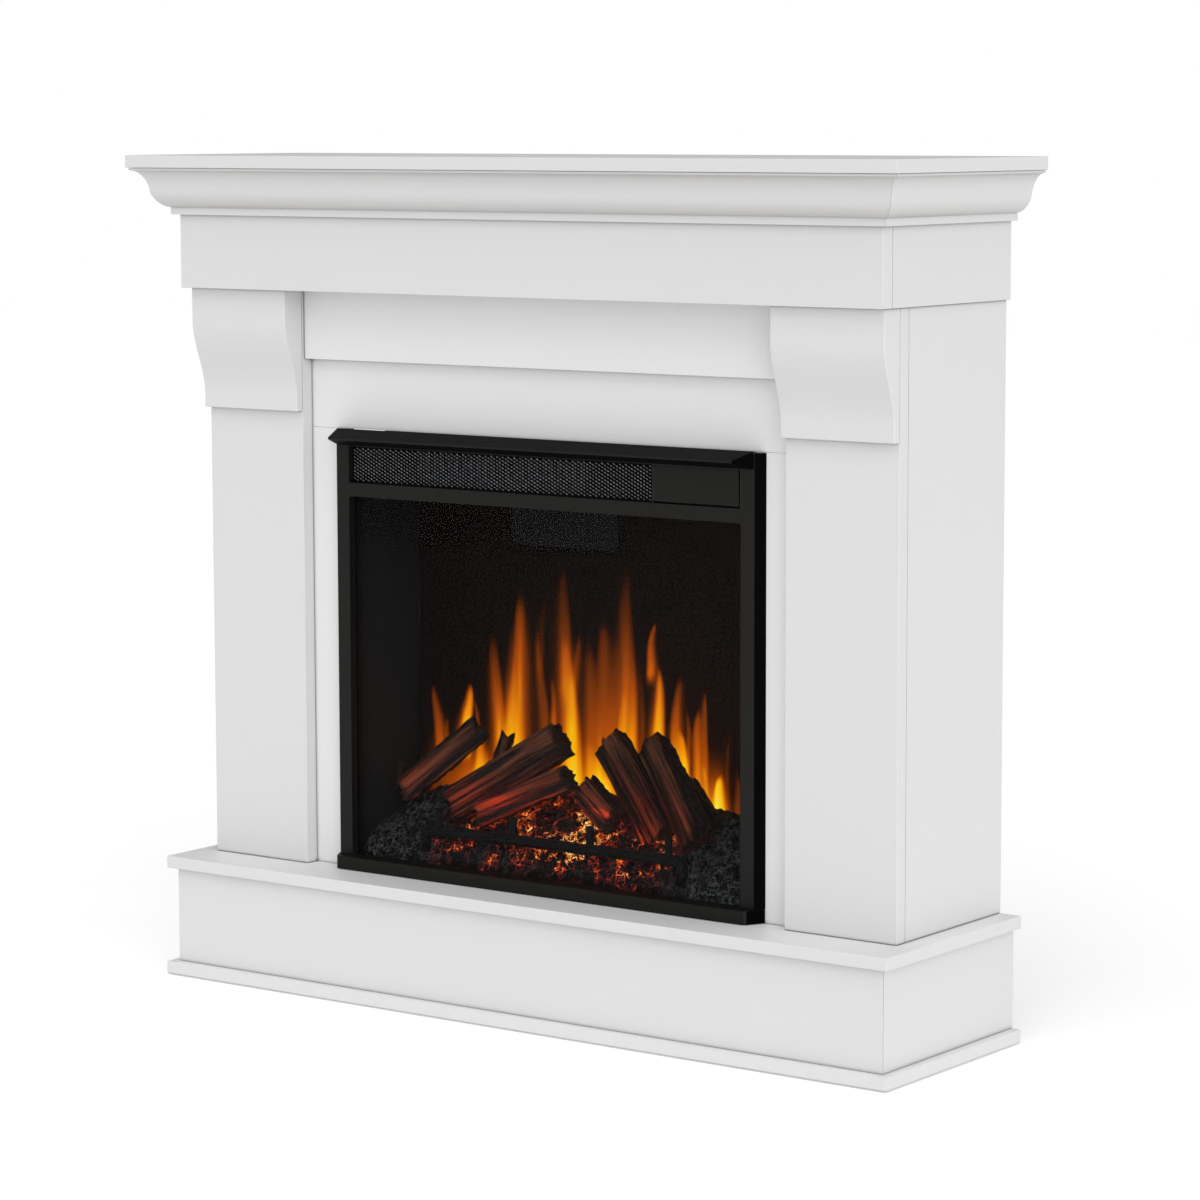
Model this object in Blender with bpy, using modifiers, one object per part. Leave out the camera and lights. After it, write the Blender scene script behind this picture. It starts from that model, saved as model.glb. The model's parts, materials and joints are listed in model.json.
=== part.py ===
"""Electric fireplace: a white panelled mantel surround with a black firebox insert.

The model stands on the floor with its back flat against a wall. +Z is up, the front faces -Y, and the
origin is the middle of the footprint at floor level. Depths are written as a reach: the distance out
from the wall. Every length is in metres.
"""

import math

import bmesh
import bpy
from mathutils import Vector

# ---------------------------------------------------------------- driving dimensions
WIDTH = 1.039
HEIGHT = 0.955
DEPTH = 0.300
GAP = 0.0003  # clearance kept between pieces that touch

# Mantel boards. An inset is measured inwards from the shelf's edge, on the front and both sides.
SHELF_THICKNESS = 0.0143
BOARD = 0.015
EDGE_EASE = 0.0009
BOTTOM_INSET = 0.0223
BOTTOM_REACH_INSET = 0.0256
BOTTOM_THICKNESS = 0.0148
HEARTH_INSET = 0.0232
HEARTH_REACH_INSET = 0.0269
HEARTH_THICKNESS = 0.0144
HEARTH_TOP = 0.1398
BASE_INSET = 0.0330
BASE_REACH_INSET = 0.0363
HEADER_INSET = 0.0440
HEADER_HEIGHT = 0.1519
HEADER_FACE = 0.0193
CROWN_TOP_INSET = 0.0030
CROWN_BAND_INSET = 0.0366
CROWN_FILLET = 0.0055
CROWN_FILLET_DROP = 0.0040
CROWN_COVE_SHARE = 0.50  # share of the moulding's projection taken by the cove
CROWN_COVE_DROP = 0.0272
CROWN_CURVE_EASE = 0.70  # 1 for true quarter rounds, less for flatter ones
CROWN_OVOLO_DROP = 0.0448
CROWN_DROP = 0.0533
COLUMN_INSET = 0.0490  # outer side of the pilasters, corbels and side panels
COLUMN_WIDTH = 0.1400
PILASTER_REACH = 0.2132
PILASTER_FACE = 0.0170
CORBEL_SETBACK = 0.0124  # from the header's face to the top of a corbel
CORBEL_PROUD = 0.0101  # from the pilaster's face to the foot of a corbel
CORBEL_HEIGHT = 0.1386
CORBEL_CURVE_START = 0.0380
CORBEL_CURVE_END = 0.1230
LINTEL_FACE = 0.0137
LINTEL_HEIGHT = 0.0789

# Firebox insert.
INSERT_HALF_WIDTH = 0.2950
INSERT_HEIGHT = 0.5059
FRAME_FACE = 0.0101
FRAME_CHAMFER = 0.0083
STILE_WIDTH = 0.0177
SLOT_HEIGHT = 0.0421
SLOT_ABOVE_RAIL = 0.0155
RAIL_DROP = 0.0753  # from the top of the frame to the underside of the middle rail
WINDOW_RADIUS = 0.0030
SILL_HEIGHT = 0.0151
SILL_LIP = 0.0129
SILL_CHAMFER = 0.0125
HOOD_LIP = 0.0276
HOOD_HEIGHT = 0.0190
HOOD_LIP_FACE = 0.0024
HOOD_LIP_DROP = 0.0083
HOOD_END_INSET = 0.0014
HOOD_END_CHAMFER = 0.0090
HOOD_OVER_FRAME = 0.0010
HOOD_OVER_CASING = 0.0060
CEILING_RISE = 0.0106  # of the firebox ceiling over the underside of the middle rail
OPENING_CLEARANCE = 0.0030  # between the casing's flange and the opening in the surround
SHEET = 0.0012
CASING_BEHIND_STILE = 0.0014
CASING_BACK_REACH = 0.0300
FLANGE_WIDTH = 0.0080
GLASS_THICKNESS = 0.0037
SCREEN_REACH = 0.0805
SCREEN_THICKNESS = 0.0030
GRILLE_SETBACK = 0.0066
BAFFLE_HALF_WIDTH = 0.0730
BAFFLE_DROP = 0.0570
BAFFLE_REACH = 0.1576
BAFFLE_RADIUS = 0.0120

# Control pocket and its flap.
POCKET_WIDTH = 0.1142
DOOR_SIDE_GAP = 0.0015
DOOR_THICKNESS = 0.0015
DOOR_FOOT_GAP = 0.0023
DOOR_LEFT_GAP = 0.0004
DOOR_HEAD_GAP = 0.0008
BARREL_MERGE = 0.0002  # how far the hinge barrel runs into the back of the door
BARREL_LIFT = 0.0003
POCKET_SETBACK = 0.0006
POCKET_WALL = 0.0008
POCKET_DEPTH = 0.0360
PIN_RADIUS = 0.0009
BARREL_RADIUS = 0.0020
RUNNING_CLEARANCE = 0.0003
BUTTON_RADIUS = 0.0045
BUTTON_SPACING = 0.0200
BUTTON_TRAVEL = 0.0015
BUTTON_PROUD = 0.0038
BUTTON_OFFSET = 0.0260
ROCKER_OFFSET = 0.0240
ROCKER_WIDTH = 0.0124
ROCKER_HEIGHT = 0.0184
ROCKER_DEPTH = 0.0110
ROCKER_PROUD = 0.0036

# Fuel bed, grate and drives.
FIREBOX_DRAWN_HALF = 0.2692  # half width of the firebox that the log places below are drawn for
BED_RISE = 0.0800
BED_STEEP_SHARE = 0.42
BED_STEEPNESS = 9.0
BED_GENTLE_RUN = 0.80  # share of the bed's depth over which the gentle slope climbs
BED_SHOULDER = 0.22
BED_RIGHT_FALL = 0.26
BED_LUMP = 0.0022
SOCKET_CLEARANCE = 0.0012
GRATE_BAR = 0.0100
GRATE_END_GAP = 0.0912  # from the casing's side to the end of the grate
GRATE_REACH = 0.1840
GRATE_TOP = 0.1970
GRATE_BEND = 0.0090
GRATE_FOOT = 0.0260
PRONG_SHARE = 0.5994  # distance between prongs over the grate's half width
PRONG_COUNT = 4
PRONG_SLIMNESS = 0.75
PRONG_HEIGHT = 0.0200
SPINDLE_SHAFT = 0.0025
SPINDLE_FLAG = 0.0140
SPINDLE_END_GAP = 0.0492
SPINDLE_SHIFT = 0.0100  # towards the left, which leaves room for the motor
SPINDLE_HEIGHT = 0.0750
SPINDLE_REACH = 0.0550
STRIP_END_GAP = 0.0592
STRIP_FIRST_LAMP = 0.0150
BLOWER_RADIUS = 0.0200
BLOWER_LENGTH = 0.2400
BLOWER_START = -0.2000
BLOWER_REACH = 0.1100
MOTOR_RADIUS = 0.0180
MOTOR_LENGTH = 0.0380
GLAND_BORE = 0.0040
GLAND_SLEEVE = 0.0080
GLAND_FLANGE = 0.0120
GLAND_X = 0.2000
GLAND_HEIGHT = 0.0360

# ---------------------------------------------------------------- sizes that follow from them
SHELF_UNDERSIDE = HEIGHT - SHELF_THICKNESS
COLUMN_OUTER = WIDTH / 2 - COLUMN_INSET
COLUMN_INNER = COLUMN_OUTER - COLUMN_WIDTH
HEADER_OUTER = WIDTH / 2 - HEADER_INSET
HEADER_REACH = DEPTH - HEADER_INSET
HEADER_BOTTOM = HEIGHT - HEADER_HEIGHT
CORBEL_TOP_REACH = HEADER_REACH - CORBEL_SETBACK
CORBEL_BOTTOM_REACH = PILASTER_REACH + CORBEL_PROUD
MITRE_GAP = GAP * math.sqrt(2)
COLUMN_TOP = HEADER_BOTTOM - GAP
COLUMN_FOOT = HEARTH_TOP + GAP
PANEL_REACH = PILASTER_REACH - PILASTER_FACE - GAP  # front face of the surround boards
SURROUND_BACK = PANEL_REACH - BOARD
INSERT_FOOT = HEARTH_TOP + GAP
INSERT_TOP = HEARTH_TOP + INSERT_HEIGHT
FRAME_BACK = PANEL_REACH + GAP
FRAME_FRONT = FRAME_BACK + FRAME_FACE
FRAME_FOOT = INSERT_FOOT + SILL_HEIGHT + GAP
FRAME_TOP = INSERT_TOP - HOOD_OVER_FRAME
STILE_OUTER = INSERT_HALF_WIDTH - FRAME_CHAMFER
STILE_INNER = STILE_OUTER - STILE_WIDTH
CASING_HALF_WIDTH = STILE_INNER + CASING_BEHIND_STILE
DOOR_LEFT = STILE_INNER - POCKET_WIDTH
RAIL_BOTTOM = FRAME_TOP - RAIL_DROP
SLOT_BOTTOM = RAIL_BOTTOM + SLOT_ABOVE_RAIL
SLOT_TOP = SLOT_BOTTOM + SLOT_HEIGHT
SILL_TOP = INSERT_FOOT + SILL_HEIGHT
SILL_REACH = FRAME_FRONT + SILL_LIP
SURROUND_OPENING = CASING_HALF_WIDTH + FLANGE_WIDTH + OPENING_CLEARANCE
GLASS_FRONT = FRAME_BACK - GAP
GLASS_BACK = GLASS_FRONT - GLASS_THICKNESS
CASING_FRONT = GLASS_BACK - GAP
CASING_INNER = CASING_HALF_WIDTH - SHEET
CASING_FOOT = INSERT_FOOT
CASING_TOP = INSERT_TOP - HOOD_OVER_CASING
LID_UNDERSIDE = CASING_TOP - SHEET
BASE_SHEET_TOP = CASING_FOOT + SHEET
CEILING_BOTTOM = RAIL_BOTTOM + CEILING_RISE
CEILING_TOP = CEILING_BOTTOM + SHEET
BED_EDGE = SILL_TOP - GAP
BED_BACK = SCREEN_REACH + GAP
BED_FRONT = CASING_FRONT - SHEET - GAP
POCKET_LEFT = DOOR_LEFT - POCKET_WALL - DOOR_LEFT_GAP
POCKET_RIGHT = STILE_INNER - GAP
DOOR_RIGHT = POCKET_RIGHT - POCKET_WALL - DOOR_SIDE_GAP
DOOR_FOOT = SLOT_BOTTOM + DOOR_FOOT_GAP
DOOR_TOP = SLOT_TOP - POCKET_WALL - DOOR_HEAD_GAP
HINGE_REACH = FRAME_FRONT - DOOR_THICKNESS - BARREL_RADIUS + BARREL_MERGE
HINGE_Z = DOOR_FOOT + BARREL_RADIUS + BARREL_LIFT
POCKET_FRONT = FRAME_FRONT - POCKET_SETBACK
POCKET_BACK = POCKET_FRONT - POCKET_DEPTH
CONTROL_Z = (SLOT_BOTTOM + SLOT_TOP) / 2
FIREBOX_SPREAD = CASING_INNER / FIREBOX_DRAWN_HALF
GRATE_HALF_WIDTH = CASING_INNER - GRATE_END_GAP
PRONG_SPACING = GRATE_HALF_WIDTH * PRONG_SHARE
SPINDLE_LENGTH = 2 * (CASING_INNER - SPINDLE_END_GAP)
SPINDLE_Z = HEARTH_TOP + SPINDLE_HEIGHT
CHAMBER_Z = (CEILING_TOP + LID_UNDERSIDE) / 2
ROCKER_X = POCKET_LEFT + ROCKER_OFFSET
BUTTON_X = [ROCKER_X + BUTTON_OFFSET + BUTTON_SPACING * step for step in range(3)]
GLAND_Z = CASING_FOOT + GLAND_HEIGHT

# Each log: its name, the middles of its low and high ends as (x, reach, z), its radius, its grain.
LOGS = (
    ("log_back_left", (-0.2440, 0.138, 0.2234), (-0.1620, 0.104, 0.2981), 0.0135, 0.3),
    ("log_centre", (-0.1600, 0.155, 0.2150), (-0.0339, 0.118, 0.2976), 0.0195, 1.1),
    ("log_front", (-0.1110, 0.172, 0.2130), (0.0019, 0.155, 0.2649), 0.0120, 2.0),
    ("log_split", (0.0800, 0.174, 0.2262), (0.0318, 0.162, 0.2565), 0.0130, 0.8),
    ("log_right_centre", (0.1290, 0.150, 0.2030), (0.0235, 0.104, 0.2992), 0.0185, 1.6),
    ("log_right", (0.1810, 0.156, 0.2110), (0.0807, 0.100, 0.3011), 0.0165, 2.6),
)

# Colours, as Principled base colour, roughness and metallic.
WHITE_PAINT = ((0.80, 0.80, 0.80, 1.0), 0.42, 0.0)
BLACK_PAINT = ((0.022, 0.020, 0.019, 1.0), 0.45, 0.2)
HOOD_PAINT = ((0.016, 0.011, 0.010, 1.0), 0.38, 0.2)
LINER_PAINT = ((0.010, 0.010, 0.010, 1.0), 0.60, 0.1)
GALVANISED = ((0.55, 0.56, 0.57, 1.0), 0.38, 0.9)
STEEL = ((0.60, 0.60, 0.60, 1.0), 0.28, 1.0)
TINTED_GLASS = ((0.10, 0.10, 0.10, 1.0), 0.04, 0.0)
SMOKED_ACRYLIC = ((0.030, 0.020, 0.016, 1.0), 0.25, 0.0)
CHARCOAL = ((0.030, 0.026, 0.026, 1.0), 0.75, 0.0)
BARK = ((0.110, 0.062, 0.040, 1.0), 0.80, 0.0)
CAST_IRON = ((0.012, 0.012, 0.013, 1.0), 0.55, 0.3)
BLACK_PLASTIC = ((0.018, 0.018, 0.018, 1.0), 0.50, 0.0)
GREY_PLASTIC = ((0.18, 0.18, 0.18, 1.0), 0.45, 0.0)
CIRCUIT_GREEN = ((0.020, 0.120, 0.045, 1.0), 0.45, 0.0)


# ---------------------------------------------------------------- helpers
def clear_scene():
    for old in list(bpy.data.objects):
        bpy.data.objects.remove(old, do_unlink=True)


def new_collection(name):
    group = bpy.data.collections.new(name)
    bpy.context.scene.collection.children.link(group)
    return group


def at_reach(reach):
    """The Y of a point that stands this far out from the wall."""
    return DEPTH / 2 - reach


def finish_of(name, finish):
    colour, roughness, metallic = finish
    made = bpy.data.materials.new(name)
    made.use_nodes = True
    shader = made.node_tree.nodes["Principled BSDF"]
    shader.inputs["Base Color"].default_value = colour
    shader.inputs["Roughness"].default_value = roughness
    shader.inputs["Metallic"].default_value = metallic
    made.diffuse_color = colour
    return made


def object_from(name, bm, group, finish=None, origin=(0.0, 0.0, 0.0)):
    """Puts the bmesh, given in world coordinates, in an object whose origin is at the given point."""
    bmesh.ops.translate(bm, verts=bm.verts, vec=-Vector(origin))
    bmesh.ops.recalc_face_normals(bm, faces=bm.faces)
    mesh = bpy.data.meshes.new(name)
    bm.to_mesh(mesh)
    bm.free()
    made = bpy.data.objects.new(name, mesh)
    made.location = origin
    group.objects.link(made)
    if finish:
        mesh.materials.append(finish_of(name + "_finish", finish))
    return made


def add_box(bm, low, high):
    """Adds a box between two corners, each given as (x, reach, z)."""
    first = Vector((low[0], at_reach(low[1]), low[2]))
    last = Vector((high[0], at_reach(high[1]), high[2]))
    size = last - first
    cube = bmesh.ops.create_cube(bm, size=1.0)["verts"]
    bmesh.ops.scale(bm, verts=cube, vec=(abs(size.x), abs(size.y), abs(size.z)))
    bmesh.ops.translate(bm, verts=cube, vec=(first + last) / 2)
    return cube


def add_cylinder(bm, start, end, radius, sides=24):
    """Adds a closed cylinder along X or Y between two world points."""
    first = Vector(start)
    last = Vector(end)
    turn = Vector((0, 0, 1)).rotation_difference(last - first).to_matrix()
    made = bmesh.ops.create_cone(
        bm, cap_ends=True, segments=sides, radius1=radius, radius2=radius, depth=(last - first).length
    )["verts"]
    bmesh.ops.rotate(bm, verts=made, cent=(0, 0, 0), matrix=turn)
    bmesh.ops.translate(bm, verts=made, vec=(first + last) / 2)
    return made


def ease_edges(item, width=EDGE_EASE, segments=2):
    bevel = item.modifiers.new("eased_edges", "BEVEL")
    bevel.width = width
    bevel.segments = segments
    bevel.limit_method = "ANGLE"
    bevel.angle_limit = math.radians(35)
    bevel.use_clamp_overlap = True


def box(name, low, high, finish, ease=0.0):
    """A board or block between two corners given as (x, reach, z)."""
    bm = bmesh.new()
    add_box(bm, low, high)
    centre = ((low[0] + high[0]) / 2, at_reach((low[1] + high[1]) / 2), (low[2] + high[2]) / 2)
    made = object_from(name, bm, PARTS, finish, centre)
    if ease:
        ease_edges(made, ease)
    return made


def loft(name, start, end, group, finish=None, origin=(0.0, 0.0, 0.0)):
    """A solid between two outlines of the same number of world points."""
    bm = bmesh.new()
    face = bm.faces.new([bm.verts.new(point) for point in start])
    grown = bmesh.ops.extrude_face_region(bm, geom=[face])["geom"]
    far = next(item for item in grown if isinstance(item, bmesh.types.BMFace))
    for loop, point in zip(far.loops, end):
        loop.vert.co = point
    return object_from(name, bm, group, finish, origin)


def cutter(name, bm):
    made = object_from(name, bm, CUTTERS)
    made.hide_render = True
    made.display_type = "WIRE"
    return made


def combine(item, other, operation, solver):
    made = item.modifiers.new(other.name, "BOOLEAN")
    made.operation = operation
    made.solver = solver
    made.object = other


def cut(item, name, bm, solver="EXACT"):
    combine(item, cutter(name, bm), "DIFFERENCE", solver)


def join(item, name, bm, solver="EXACT"):
    combine(item, cutter(name, bm), "UNION", solver)


def smooth(item, angle=40):
    item.data.shade_smooth()
    item.data.set_sharp_from_angle(angle=math.radians(angle))


def quarter(count):
    """Angles of a quarter turn, both ends included."""
    return [math.pi / 2 * step / count for step in range(count + 1)]


def side_name(base, side):
    return base + ("_right" if side > 0 else "_left")


# ---------------------------------------------------------------- mantel
def mitred_run(name, profile, inset_x, inset_reach, side, finish):
    """A moulding or board that meets its neighbour at 45 degrees.

    The profile is a list of (inset, z). side is 0 for the run along the front, and -1 or 1 for the
    return along that side, which ends at the wall.
    """
    start = []
    end = []
    for inset, z in profile:
        corner_x = WIDTH / 2 - inset_x - inset
        corner_y = at_reach(DEPTH - inset_reach - inset)
        if side == 0:
            start.append((-corner_x, corner_y, z))
            end.append((corner_x, corner_y, z))
        else:
            start.append((side * corner_x, corner_y + MITRE_GAP, z))
            end.append((side * corner_x, at_reach(0), z))
    return loft(name, start, end, PARTS, finish, (0.0, at_reach(DEPTH - inset_reach), profile[0][1]))


def crown_profile():
    """A fillet under the shelf, a cove, an ovolo and a flat band, down the front and up the back."""
    fillet_inset = CROWN_TOP_INSET + CROWN_FILLET
    cove_foot_inset = CROWN_TOP_INSET + CROWN_COVE_SHARE * (CROWN_BAND_INSET - CROWN_TOP_INSET)
    cove_run = cove_foot_inset - fillet_inset
    cove_drop = CROWN_COVE_DROP - CROWN_FILLET_DROP
    ovolo_run = CROWN_BAND_INSET - cove_foot_inset
    ovolo_drop = CROWN_OVOLO_DROP - CROWN_COVE_DROP
    points = [(CROWN_TOP_INSET, 0.0), (CROWN_TOP_INSET, CROWN_FILLET_DROP * 0.6)]
    points.append((fillet_inset, CROWN_FILLET_DROP))
    for angle in quarter(7)[1:]:
        eased = (1 - math.cos(angle)) ** CROWN_CURVE_EASE
        points.append((fillet_inset + cove_run * math.sin(angle), CROWN_FILLET_DROP + cove_drop * eased))
    for angle in quarter(6)[1:]:
        eased = (1 - math.cos(angle)) ** CROWN_CURVE_EASE
        points.append((cove_foot_inset + ovolo_run * eased, CROWN_COVE_DROP + ovolo_drop * math.sin(angle)))
    points.append((CROWN_BAND_INSET, CROWN_DROP))
    points.append((HEADER_INSET - GAP, CROWN_DROP))
    points.append((HEADER_INSET - GAP, 0.0))
    return [(inset, SHELF_UNDERSIDE - GAP - drop) for inset, drop in points]


def build_shelf_and_crown():
    half = WIDTH / 2
    box("shelf_top", (-half, 0, SHELF_UNDERSIDE), (half, DEPTH, HEIGHT), WHITE_PAINT, EDGE_EASE)
    for name, side in (("crown_front", 0), ("crown_left", -1), ("crown_right", 1)):
        smooth(mitred_run(name, crown_profile(), 0.0, 0.0, side, WHITE_PAINT), 30)


def build_header():
    """The box under the shelf: a thick front board, two side boards behind it and a soffit."""
    top = SHELF_UNDERSIDE - GAP
    back_of_face = HEADER_REACH - HEADER_FACE
    box(
        "header_front",
        (-HEADER_OUTER, back_of_face, HEADER_BOTTOM),
        (HEADER_OUTER, HEADER_REACH, top),
        WHITE_PAINT,
        EDGE_EASE,
    )
    for side in (-1, 1):
        box(
            side_name("header", side),
            (side * (HEADER_OUTER - BOARD), 0, HEADER_BOTTOM),
            (side * HEADER_OUTER, back_of_face - GAP, top),
            WHITE_PAINT,
            EDGE_EASE,
        )
    inner = HEADER_OUTER - BOARD - GAP
    box(
        "header_soffit",
        (-inner, 0, HEADER_BOTTOM),
        (inner, back_of_face - GAP, HEADER_BOTTOM + BOARD),
        WHITE_PAINT,
    )


def corbel_outline(x):
    """The side of a corbel: upright at the top, swept back through an S, upright again at its foot."""
    back = PILASTER_REACH + GAP
    points = [(back, 0.0), (CORBEL_TOP_REACH, 0.0)]
    steps = 12
    for step in range(steps + 1):
        share = step / steps
        ease = share * share * (3 - 2 * share)
        drop = CORBEL_CURVE_START + (CORBEL_CURVE_END - CORBEL_CURVE_START) * share
        points.append((CORBEL_TOP_REACH + (CORBEL_BOTTOM_REACH - CORBEL_TOP_REACH) * ease, drop))
    points.append((CORBEL_BOTTOM_REACH, CORBEL_HEIGHT))
    points.append((back, CORBEL_HEIGHT))
    return [(x, at_reach(reach), COLUMN_TOP - drop) for reach, drop in points]


def build_columns():
    """On each side a corbel over a pilaster board, and the side panel that runs back to the wall."""
    for side in (-1, 1):
        outer = side * COLUMN_OUTER
        inner = side * COLUMN_INNER
        corbel = loft(
            side_name("corbel", side), corbel_outline(inner), corbel_outline(outer), PARTS, WHITE_PAINT
        )
        smooth(corbel, 25)
        ease_edges(corbel, EDGE_EASE * 0.6, 1)
        box(
            side_name("pilaster", side),
            (inner, PILASTER_REACH - PILASTER_FACE, COLUMN_FOOT),
            (outer, PILASTER_REACH, COLUMN_TOP),
            WHITE_PAINT,
            EDGE_EASE,
        )
        box(
            side_name("side_panel", side),
            (side * (COLUMN_OUTER - BOARD), 0, COLUMN_FOOT),
            (outer, PANEL_REACH, COLUMN_TOP),
            WHITE_PAINT,
            EDGE_EASE,
        )


def build_surround():
    """The set-back boards round the insert, and the lintel panel proud of them under the header."""
    reach = COLUMN_OUTER - BOARD - GAP
    box(
        "surround_top",
        (-reach, SURROUND_BACK, INSERT_TOP),
        (reach, PANEL_REACH, COLUMN_TOP),
        WHITE_PAINT,
    )
    for side in (-1, 1):
        box(
            side_name("surround", side),
            (side * SURROUND_OPENING, SURROUND_BACK, COLUMN_FOOT),
            (side * reach, PANEL_REACH, INSERT_TOP - GAP),
            WHITE_PAINT,
        )
    inner = COLUMN_INNER - GAP
    box(
        "lintel_panel",
        (-inner, PANEL_REACH + GAP, COLUMN_TOP - LINTEL_HEIGHT),
        (inner, PANEL_REACH + GAP + LINTEL_FACE, COLUMN_TOP),
        WHITE_PAINT,
        EDGE_EASE,
    )


def build_plinth():
    """The hearth board on a mitred base box, on a bottom board that stands on the floor."""
    hearth_half = WIDTH / 2 - HEARTH_INSET
    box(
        "hearth_board",
        (-hearth_half, 0, HEARTH_TOP - HEARTH_THICKNESS),
        (hearth_half, DEPTH - HEARTH_REACH_INSET, HEARTH_TOP),
        WHITE_PAINT,
        EDGE_EASE * 1.6,
    )
    top = HEARTH_TOP - HEARTH_THICKNESS - GAP
    foot = BOTTOM_THICKNESS + GAP
    profile = [(0.0, foot), (0.0, top), (BOARD, top), (BOARD, foot)]
    for name, side in (("base_front", 0), ("base_left", -1), ("base_right", 1)):
        mitred_run(name, profile, BASE_INSET, BASE_REACH_INSET, side, WHITE_PAINT)
    bottom_half = WIDTH / 2 - BOTTOM_INSET
    box(
        "bottom_board",
        (-bottom_half, 0, 0),
        (bottom_half, DEPTH - BOTTOM_REACH_INSET, BOTTOM_THICKNESS),
        WHITE_PAINT,
        EDGE_EASE * 1.6,
    )


# ---------------------------------------------------------------- insert: front trim
def rectangle(half_width, reach, low, high):
    y = at_reach(reach)
    return [(-half_width, y, low), (half_width, y, low), (half_width, y, high), (-half_width, y, high)]


def build_frame():
    """Two stiles, a middle rail and a top rail, pressed from one sheet with sloping outer sides."""
    frame = loft(
        "insert_frame",
        rectangle(INSERT_HALF_WIDTH, FRAME_BACK, FRAME_FOOT, FRAME_TOP),
        rectangle(STILE_OUTER, FRAME_FRONT, FRAME_FOOT, FRAME_TOP),
        PARTS,
        BLACK_PAINT,
        (0.0, at_reach(FRAME_BACK), FRAME_FOOT),
    )
    past = 0.004
    window = bmesh.new()
    add_box(
        window,
        (-STILE_INNER, FRAME_BACK - past, FRAME_FOOT - past),
        (STILE_INNER, FRAME_FRONT + past, RAIL_BOTTOM),
    )
    top_corners = [
        edge for edge in window.edges if all(abs(v.co.z - RAIL_BOTTOM) < 1e-6 for v in edge.verts)
        and abs(edge.verts[0].co.x - edge.verts[1].co.x) < 1e-6
    ]
    bmesh.ops.bevel(window, geom=top_corners, offset=WINDOW_RADIUS, segments=4, affect="EDGES", profile=0.5)
    cut(frame, "window_cutter", window)
    slot = bmesh.new()
    add_box(
        slot,
        (-STILE_INNER, FRAME_BACK - past, SLOT_BOTTOM),
        (STILE_INNER, FRAME_FRONT + past, SLOT_TOP),
    )
    cut(frame, "slot_cutter", slot)


def build_sill():
    """The trim bar across the foot, whose ends slope back to the surround."""
    def plan(z):
        back = at_reach(FRAME_BACK)
        front = at_reach(SILL_REACH)
        front_half = INSERT_HALF_WIDTH - SILL_CHAMFER
        turn = 0.0030
        return [
            (-INSERT_HALF_WIDTH, back, z),
            (-front_half - turn * 0.5, front + turn, z),
            (-front_half + turn, front, z),
            (front_half - turn, front, z),
            (front_half + turn * 0.5, front + turn, z),
            (INSERT_HALF_WIDTH, back, z),
        ]

    sill = loft("insert_sill", plan(INSERT_FOOT), plan(SILL_TOP), PARTS, BLACK_PAINT)
    ease_edges(sill, 0.0007)


def build_hood():
    """The pointed hood across the top: a sloping roof, a narrow lip and an underside that slopes back."""
    top = INSERT_TOP + 0.0007
    lip_top = top - HOOD_LIP_DROP
    back = FRAME_FRONT + GAP
    outline = [
        (back, top),
        (back + HOOD_LIP, lip_top),
        (back + HOOD_LIP, lip_top - HOOD_LIP_FACE),
        (back, top - HOOD_HEIGHT),
    ]

    def end(side):
        points = []
        for reach, z in outline:
            half = STILE_OUTER - HOOD_END_INSET - HOOD_END_CHAMFER * (reach - back) / HOOD_LIP
            points.append((side * half, at_reach(reach), z))
        return points

    hood = loft("insert_hood", end(-1), end(1), PARTS, HOOD_PAINT)
    ease_edges(hood, 0.0005, 1)


def build_grille():
    """The vent panel behind the slot, pierced by slanting slits."""
    left = -STILE_INNER + GAP
    right = POCKET_LEFT - GAP
    low = SLOT_BOTTOM + GAP
    high = SLOT_TOP - GAP
    front = FRAME_FRONT - GRILLE_SETBACK
    grille = box("vent_grille", (left, front - SHEET, low), (right, front, high), BLACK_PAINT)
    slits = bmesh.new()
    count = 26
    pitch = (right - left - 0.030) / count
    for step in range(count):
        x = left + 0.015 + pitch * (step + 0.5)
        slit = add_box(slits, (-0.0026, front - 0.004, -0.020), (0.0026, front + 0.004, 0.020))
        lean = Vector((0, 0, 1)).rotation_difference(Vector((0.45, 0, 1))).to_matrix()
        middle = Vector((0, at_reach(front), 0))
        bmesh.ops.rotate(slits, verts=slit, cent=middle, matrix=lean)
        bmesh.ops.translate(slits, verts=slit, vec=(x, 0, (low + high) / 2))
    cut(grille, "grille_slits", slits)


def build_glass():
    half = CASING_INNER + FLANGE_WIDTH
    box(
        "glass_front",
        (-half, GLASS_BACK, BASE_SHEET_TOP),
        (half, GLASS_FRONT, RAIL_BOTTOM + 0.0096),
        TINTED_GLASS,
        0.0006,
    )


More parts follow.
